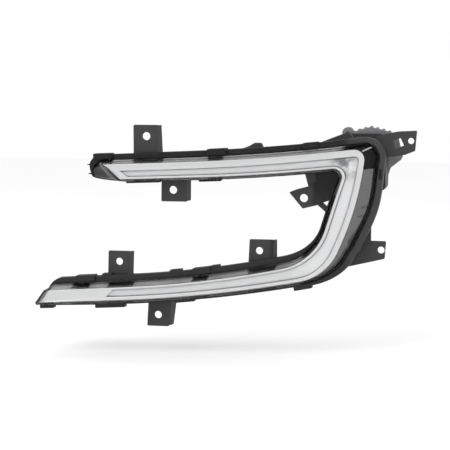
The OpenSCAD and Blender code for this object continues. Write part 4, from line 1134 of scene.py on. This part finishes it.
cover = {
    "facing": 0.012, "glancing": 0.32, "haze": 0.006,  # how much it mirrors
    "cornerLoss": 0.9, "legLoss": 0.75, "endLoss": 0.6,  # painted weaker reflection: how much less in the corner, on the leg, at the end
    "flanks": (0.06, 0.1, 0.3),  # how much painted reflection its flanks carry, how much more above, and in the bright strip
    "ribs": ((1.4, 2.0), (3.4, 4.0)),  # thin ribs on its black upper end, painted as lighter lines: painted highlights
    "black": (0.045, 0.045, 0.045), "ribHighlightTone": (0.3, 0.3, 0.3),
}


def clearPlastic(name):
    # a thin clear wall: what isn't mirrored passes straight through
    finish, w, link = newFinish(name, {"Base Color": (1, 1, 1, 1), "Metallic": 1.0})
    fresnel = w.node("ShaderNodeFresnel", {}, {"IOR": 1.5})
    haze = w.noise(90.0, 3.0)
    m, c, x = mirrored, cover, w.axis(0)
    upper = upperHalf(w)
    leg = legMask(w, upper)
    start, turn, end = m["flank"]
    ends = upper * (1 - w.above(x, m["upperTip"], 3.0))
    # painted reflection on the lens flanks, stronger above and in a bright strip
    flank = (w.within(w.depth(), start, end, 0.8) * (1 - leg) * (1 - darkSpans(w, upper)) * (1 - ends)
             * w.above(x, m["lowerTip"], 2.0))
    strip = flank * upper * w.above(w.depth(), turn, 0.8)
    mirror = c["facing"] + fresnel * c["glancing"] + haze * c["haze"]
    # painted weaker reflection in the corner, on the leg and at the upper end
    for mask, loss in ((cornerMask(w), c["cornerLoss"]), (leg, c["legLoss"]), (ends, c["endLoss"])):
        mirror = mirror * (1 - loss * mask)
    fromUpper, fromLower = beyond(w, m["maskUpper"]), beyond(w, m["maskLower"])
    first, second = (w.within(fromUpper, *rib, 0.25) for rib in c["ribs"])
    masked = w.above(fromUpper, 0.2) * upper + w.above(fromLower, 0.2) * (1 - upper)
    # the black end's own tone, with painted highlights on its ribs
    black = w.blend((first + second) * upper, c["black"], c["ribHighlightTone"])
    overall, above, bright = c["flanks"]
    link(colour=w.blend(masked, (1, 1, 1), black),
         alpha=mirror + (overall + above * upper) * flank + bright * strip + masked,
         roughness=0.02 + 0.03 * haze + 0.5 * flank + 0.3 * masked,
         normal=w.bump(w.noise(26.0, 1.0), 0.00002))
    return finish


milkyGuide = {
    "bend": (42.0, 33.0, 11.0),  # x, z and half size of the bend behind the lens, where mottled reflections are painted
    # the guide's own two tones, then the dark of the painted mottled reflections
    "tones": ((0.57, 0.575, 0.58), (0.62, 0.625, 0.63), (0.14, 0.14, 0.145)),
    "scatter": 0.003,
}


def frosted(name):
    g = milkyGuide
    finish, w, link = newFinish(name, {"IOR": 1.5, "Subsurface Weight": 0.25, "Subsurface Radius": (g["scatter"],) * 3,
                                       "Coat Weight": 0.2, "Coat Roughness": 0.12})
    fine = w.noise(900.0, 3.0)
    dark, light, mottleReflectionTone = g["tones"]
    xc, zc, size = g["bend"]
    # painted dark mottled reflections in the bend
    bend = w.within(w.axis(0), xc - size, xc + size, 6.0) * w.within(w.axis(2), zc - size, zc + size, 6.0)
    reflectionMottle = bend * w.above(w.noise(85.0, 3.0), 0.5, 0.12)
    link(colour=w.blend(reflectionMottle, w.blend(w.noise(60.0), dark, light), mottleReflectionTone), roughness=0.3 + 0.15 * fine,
         normal=w.bump(fine, 0.00001))
    return finish


lacquer = {
    "tones": ((0.008, 0.06, 0.03), (0.02, 0.13, 0.06)), "tracks": 260.0, "trackEdge": (0.03, 0.06), "rough": 0.35,
    "relief": 0.00003,
}


def solderMask(name):
    # green lacquer over the copper's tracks
    c = lacquer
    finish, w, link = newFinish(name, {"IOR": 1.5, "Coat Weight": 0.4, "Coat Roughness": 0.15})
    cell = w.node("ShaderNodeTexVoronoi", {"feature": "DISTANCE_TO_EDGE"}, {"Vector": w.place(), "Scale": c["tracks"]})
    stops = list(zip(c["trackEdge"], ((1, 1, 1), (0, 0, 0))))
    track = w.node("ShaderNodeValToRGB", {"stops": stops}, {"Fac": cell})
    link(colour=w.blend(track, *c["tones"]), roughness=c["rough"] + 0.15 * w.noise(500.0),
         normal=w.bump(track, c["relief"]))
    return finish


plain = {
    # name, kind of surface, its two tones, roughness
    "seal": ("sealGrey", "moulded", (0.012, 0.012, 0.013), (0.02, 0.02, 0.021), 0.7),
    "bezel": ("bezelSilver", "vapoured", (0.57, 0.575, 0.58), (0.605, 0.61, 0.615), 0.3),
    "screw": ("screwSteel", "plated", (0.5, 0.49, 0.46), (0.66, 0.65, 0.62), 0.24),
    "lead": ("leadGrey", "moulded", (0.03, 0.03, 0.03), (0.05, 0.05, 0.05), 0.55),
    "rubber": ("rubberBlack", "moulded", (0.016, 0.016, 0.017), (0.026, 0.026, 0.027), 0.72),
    "case": ("caseBlack", "moulded", (0.013, 0.013, 0.014), (0.02, 0.02, 0.021), 0.5),
    "chip": ("chipBlack", "moulded", (0.012, 0.012, 0.012), (0.02, 0.02, 0.02), 0.6),
    "pad": ("padGrey", "moulded", (0.4, 0.45, 0.52), (0.46, 0.5, 0.58), 0.8),
    "sink": ("sinkAluminium", "cast", (0.2, 0.205, 0.21), (0.3, 0.3, 0.31), 0.42),
    "pin": ("pinBrass", "plated", (0.5, 0.49, 0.46), (0.66, 0.65, 0.62), 0.24),
    "membrane": ("membraneWhite", "moulded", (0.78, 0.78, 0.76), (0.85, 0.85, 0.83), 0.85),
}
finishes = {key: plainSurface(*row) for key, row in plain.items()}
finishes.update({
    "housing": housingPlastic("housingBlack"), "lens": clearPlastic("lensClear"), "trim": trimPlastic("trimBlack"),
    "guide": frosted("guideWhite"), "board": solderMask("boardGreen"),
    "led": glossPlastic("ledYellow", (0.75, 0.62, 0.18), (0.85, 0.72, 0.25), 0.3),
})
print("finishes made")


# lens, trim, bezel and light guide
def lensProfile(s, side):
    c = sections
    t, b = c["lensWall"], c["lensBorder"]
    return [(0, b - 3.2, 0, 0), (0, b, 0, 1.5), (1, 0, c["lensDepth"], 1.2), (1, 0, c["footDepth"], 0.3),
            (1, -t, c["footDepth"], 0.3), (1, -t, c["lensDepth"], 0.8), (0, b - t, t, 0.7), (0, b - t - 2, t, 0)]


def trimProfile(s, side):
    c = sections
    x = c["lensWall"] + c["trimClear"]
    front = c["bezelDepth"] + c["bezelWall"] + 0.4
    wall, deep = c["trimWall"], c["trimBack"]
    return [(0, c["lensBorder"] - x, front, 0.2), (1, -x, c["lensDepth"], 1.5), (1, -x, deep, 0.2),
            (1, -3.7, deep, 0.2), (1, -x - wall, c["lensDepth"], 1.0), (0, c["lensBorder"] - x - wall, front, 0.2)]


def bezelProfile(s, side):
    c = sections
    f = -bySide("flange", squeezed(s), side)
    d, w, deep = c["bezelDepth"], c["bezelWall"], c["channelDepth"]
    return [(0, 0, d, 0.45), (0, 0, d + w, 0.2), (0, f + w, d + w, 0.3, 1), (0, f + w, deep + w, 0.2, 1),
            (0, f - c["lip"], deep + w, 0.2, 1), (0, f - c["lip"], deep, 0.2, 1), (0, f, deep, 0.5, 1),
            (0, f, d, 0.7, 1)]


def guideProfile(s, side):
    c = sections
    f = -bySide("flange", squeezed(s), side) - 0.3
    back = c["channelDepth"] - 0.15
    front = back - c["guideDepth"]
    return [(0, f - 1, back, 0, 1), (0, f, back, 0.3, 1), (0, f, front + 0.5, 0.5, 1), (0, f - 1.2, front, 1.2, 1),
            (0, f - 2.2, front, 0, 1)]


for name, profile, closed, key in (("outerLens", lensProfile, False, "lens"), ("blackTrim", trimProfile, True, "trim"),
                                   ("brightBezel", bezelProfile, True, "bezel"),
                                   ("lightGuide", guideProfile, False, "guide")):
    addPiece(name, bandMesh(name, profile, closed), finishes[key], underscored(name))
print("lens, trim, bezel and guide made")


addPiece("rearHousing", evenShade(housingMesh()), finishes["housing"], "rear_housing")
print("housing made")
for node, (name, width, key) in {
    "driver_case": ("driverCase", 0.5, "case"), "heat_sink": ("heatSink", 0.5, "sink"),
    "breather_cap": ("breatherCap", 0.4, "rubber"), "case_gasket": ("caseGasket", 0.2, "rubber"),
}.items():
    addPiece(name, roundedCopy(name, node, width), finishes[key], node)
maker = screwTree(screws["sink_screws"])
for node, sizes in screws.items():
    first, *rest = node.split("_")
    name = first + "".join(p.capitalize() for p in rest)
    addPiece(name, screwsMesh(maker, node, sizes, finishes["screw"]), finishes["screw"], node)
print("driver unit and screws made")


# finishes of the carried-over solids
carried = {
    "seal_bead": "seal", "led_board_upper": "board", "led_board_leg": "board",
    "led_board_lower": "board", "led_chips_upper": "led", "led_chips_leg": "led", "led_chips_lower": "led",
    "led_leads": "lead", "wire_grommet": "rubber", "driver_board": "board", "driver_chips": "chip",
    "thermal_pad": "pad", "connector_pins": "pin", "breather_membrane": "membrane",
}
for node, key in carried.items():
    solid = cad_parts[node]
    solid.data.materials.clear()
    solid.data.materials.append(finishes[key])
print("carried solids finished")


# floor, light and camera
stage = {
    "floorDrop": 0.03,
    "floorSize": 6.0,
    "floorTones": ((0.93, 0.93, 0.93), (0.96, 0.96, 0.96)),
    "worldStrength": 1.0,
    "lit": (-0.08, 0, -0.02),
    # place, size and power of each soft light
    "lights": {"keyLight": ((-0.9, -1.5, 1.3), (1.2, 0.9), 14.0), "fillLight": ((1.3, -1.0, 0.7), (0.9, 0.9), 6.0)},
}
low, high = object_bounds()
floorMesh = bpy.data.meshes.new("floor")
half = stage["floorSize"] / 2
floorZ = low[2] - stage["floorDrop"]
floorMesh.from_pydata([(-half, -half, floorZ), (half, -half, floorZ), (half, half, floorZ), (-half, half, floorZ)],
                      [], [(0, 1, 2, 3)])
floor = inScene("floor", floorMesh)
floorFinish, w, link = newFinish("paleFloor", {"Roughness": 0.9, "Specular IOR Level": 0.1})
link(colour=w.blend(w.noise(3.0), *stage["floorTones"]))
floorMesh.materials.append(floorFinish)

world = bpy.data.worlds.new("studio")
world.use_nodes = True
world.node_tree.nodes["Background"].inputs["Color"].default_value = (1, 1, 1, 1)
world.node_tree.nodes["Background"].inputs["Strength"].default_value = stage["worldStrength"]
bpy.context.scene.world = world


def softBox(name, at, size, power):
    light = bpy.data.lights.new(name, "AREA")
    light.shape = "RECTANGLE"
    light.size, light.size_y = size
    light.energy = power
    box = inScene(name, light)
    box.location = at
    box.rotation_euler = (Vector(stage["lit"]) - Vector(at)).to_track_quat("-Z", "Y").to_euler()


for name, row in stage["lights"].items():
    softBox(name, *row)

view = {
    "azimuth": math.radians(12.0),
    "elevation": math.radians(6.0),
    "distance": 1.6,
    "target": (-0.0776, -0.012, -0.0273),
    "halfWidth": 225 / 1600,
}
camera = bpy.data.cameras.new("camera")
camera.sensor_width = 36
camera.lens = camera.sensor_width / 2 / view["halfWidth"]
camera.clip_start = 0.05
eye = Vector(view["target"]) + view["distance"] * Vector((
    math.sin(view["azimuth"]) * math.cos(view["elevation"]),
    -math.cos(view["azimuth"]) * math.cos(view["elevation"]), math.sin(view["elevation"])))
shooter = inScene("camera", camera)
shooter.location = eye
shooter.rotation_euler = (Vector(view["target"]) - eye).to_track_quat("-Z", "Y").to_euler()
bpy.context.scene.camera = shooter
bpy.context.scene.view_settings.view_transform = "Standard"
print("studio set")
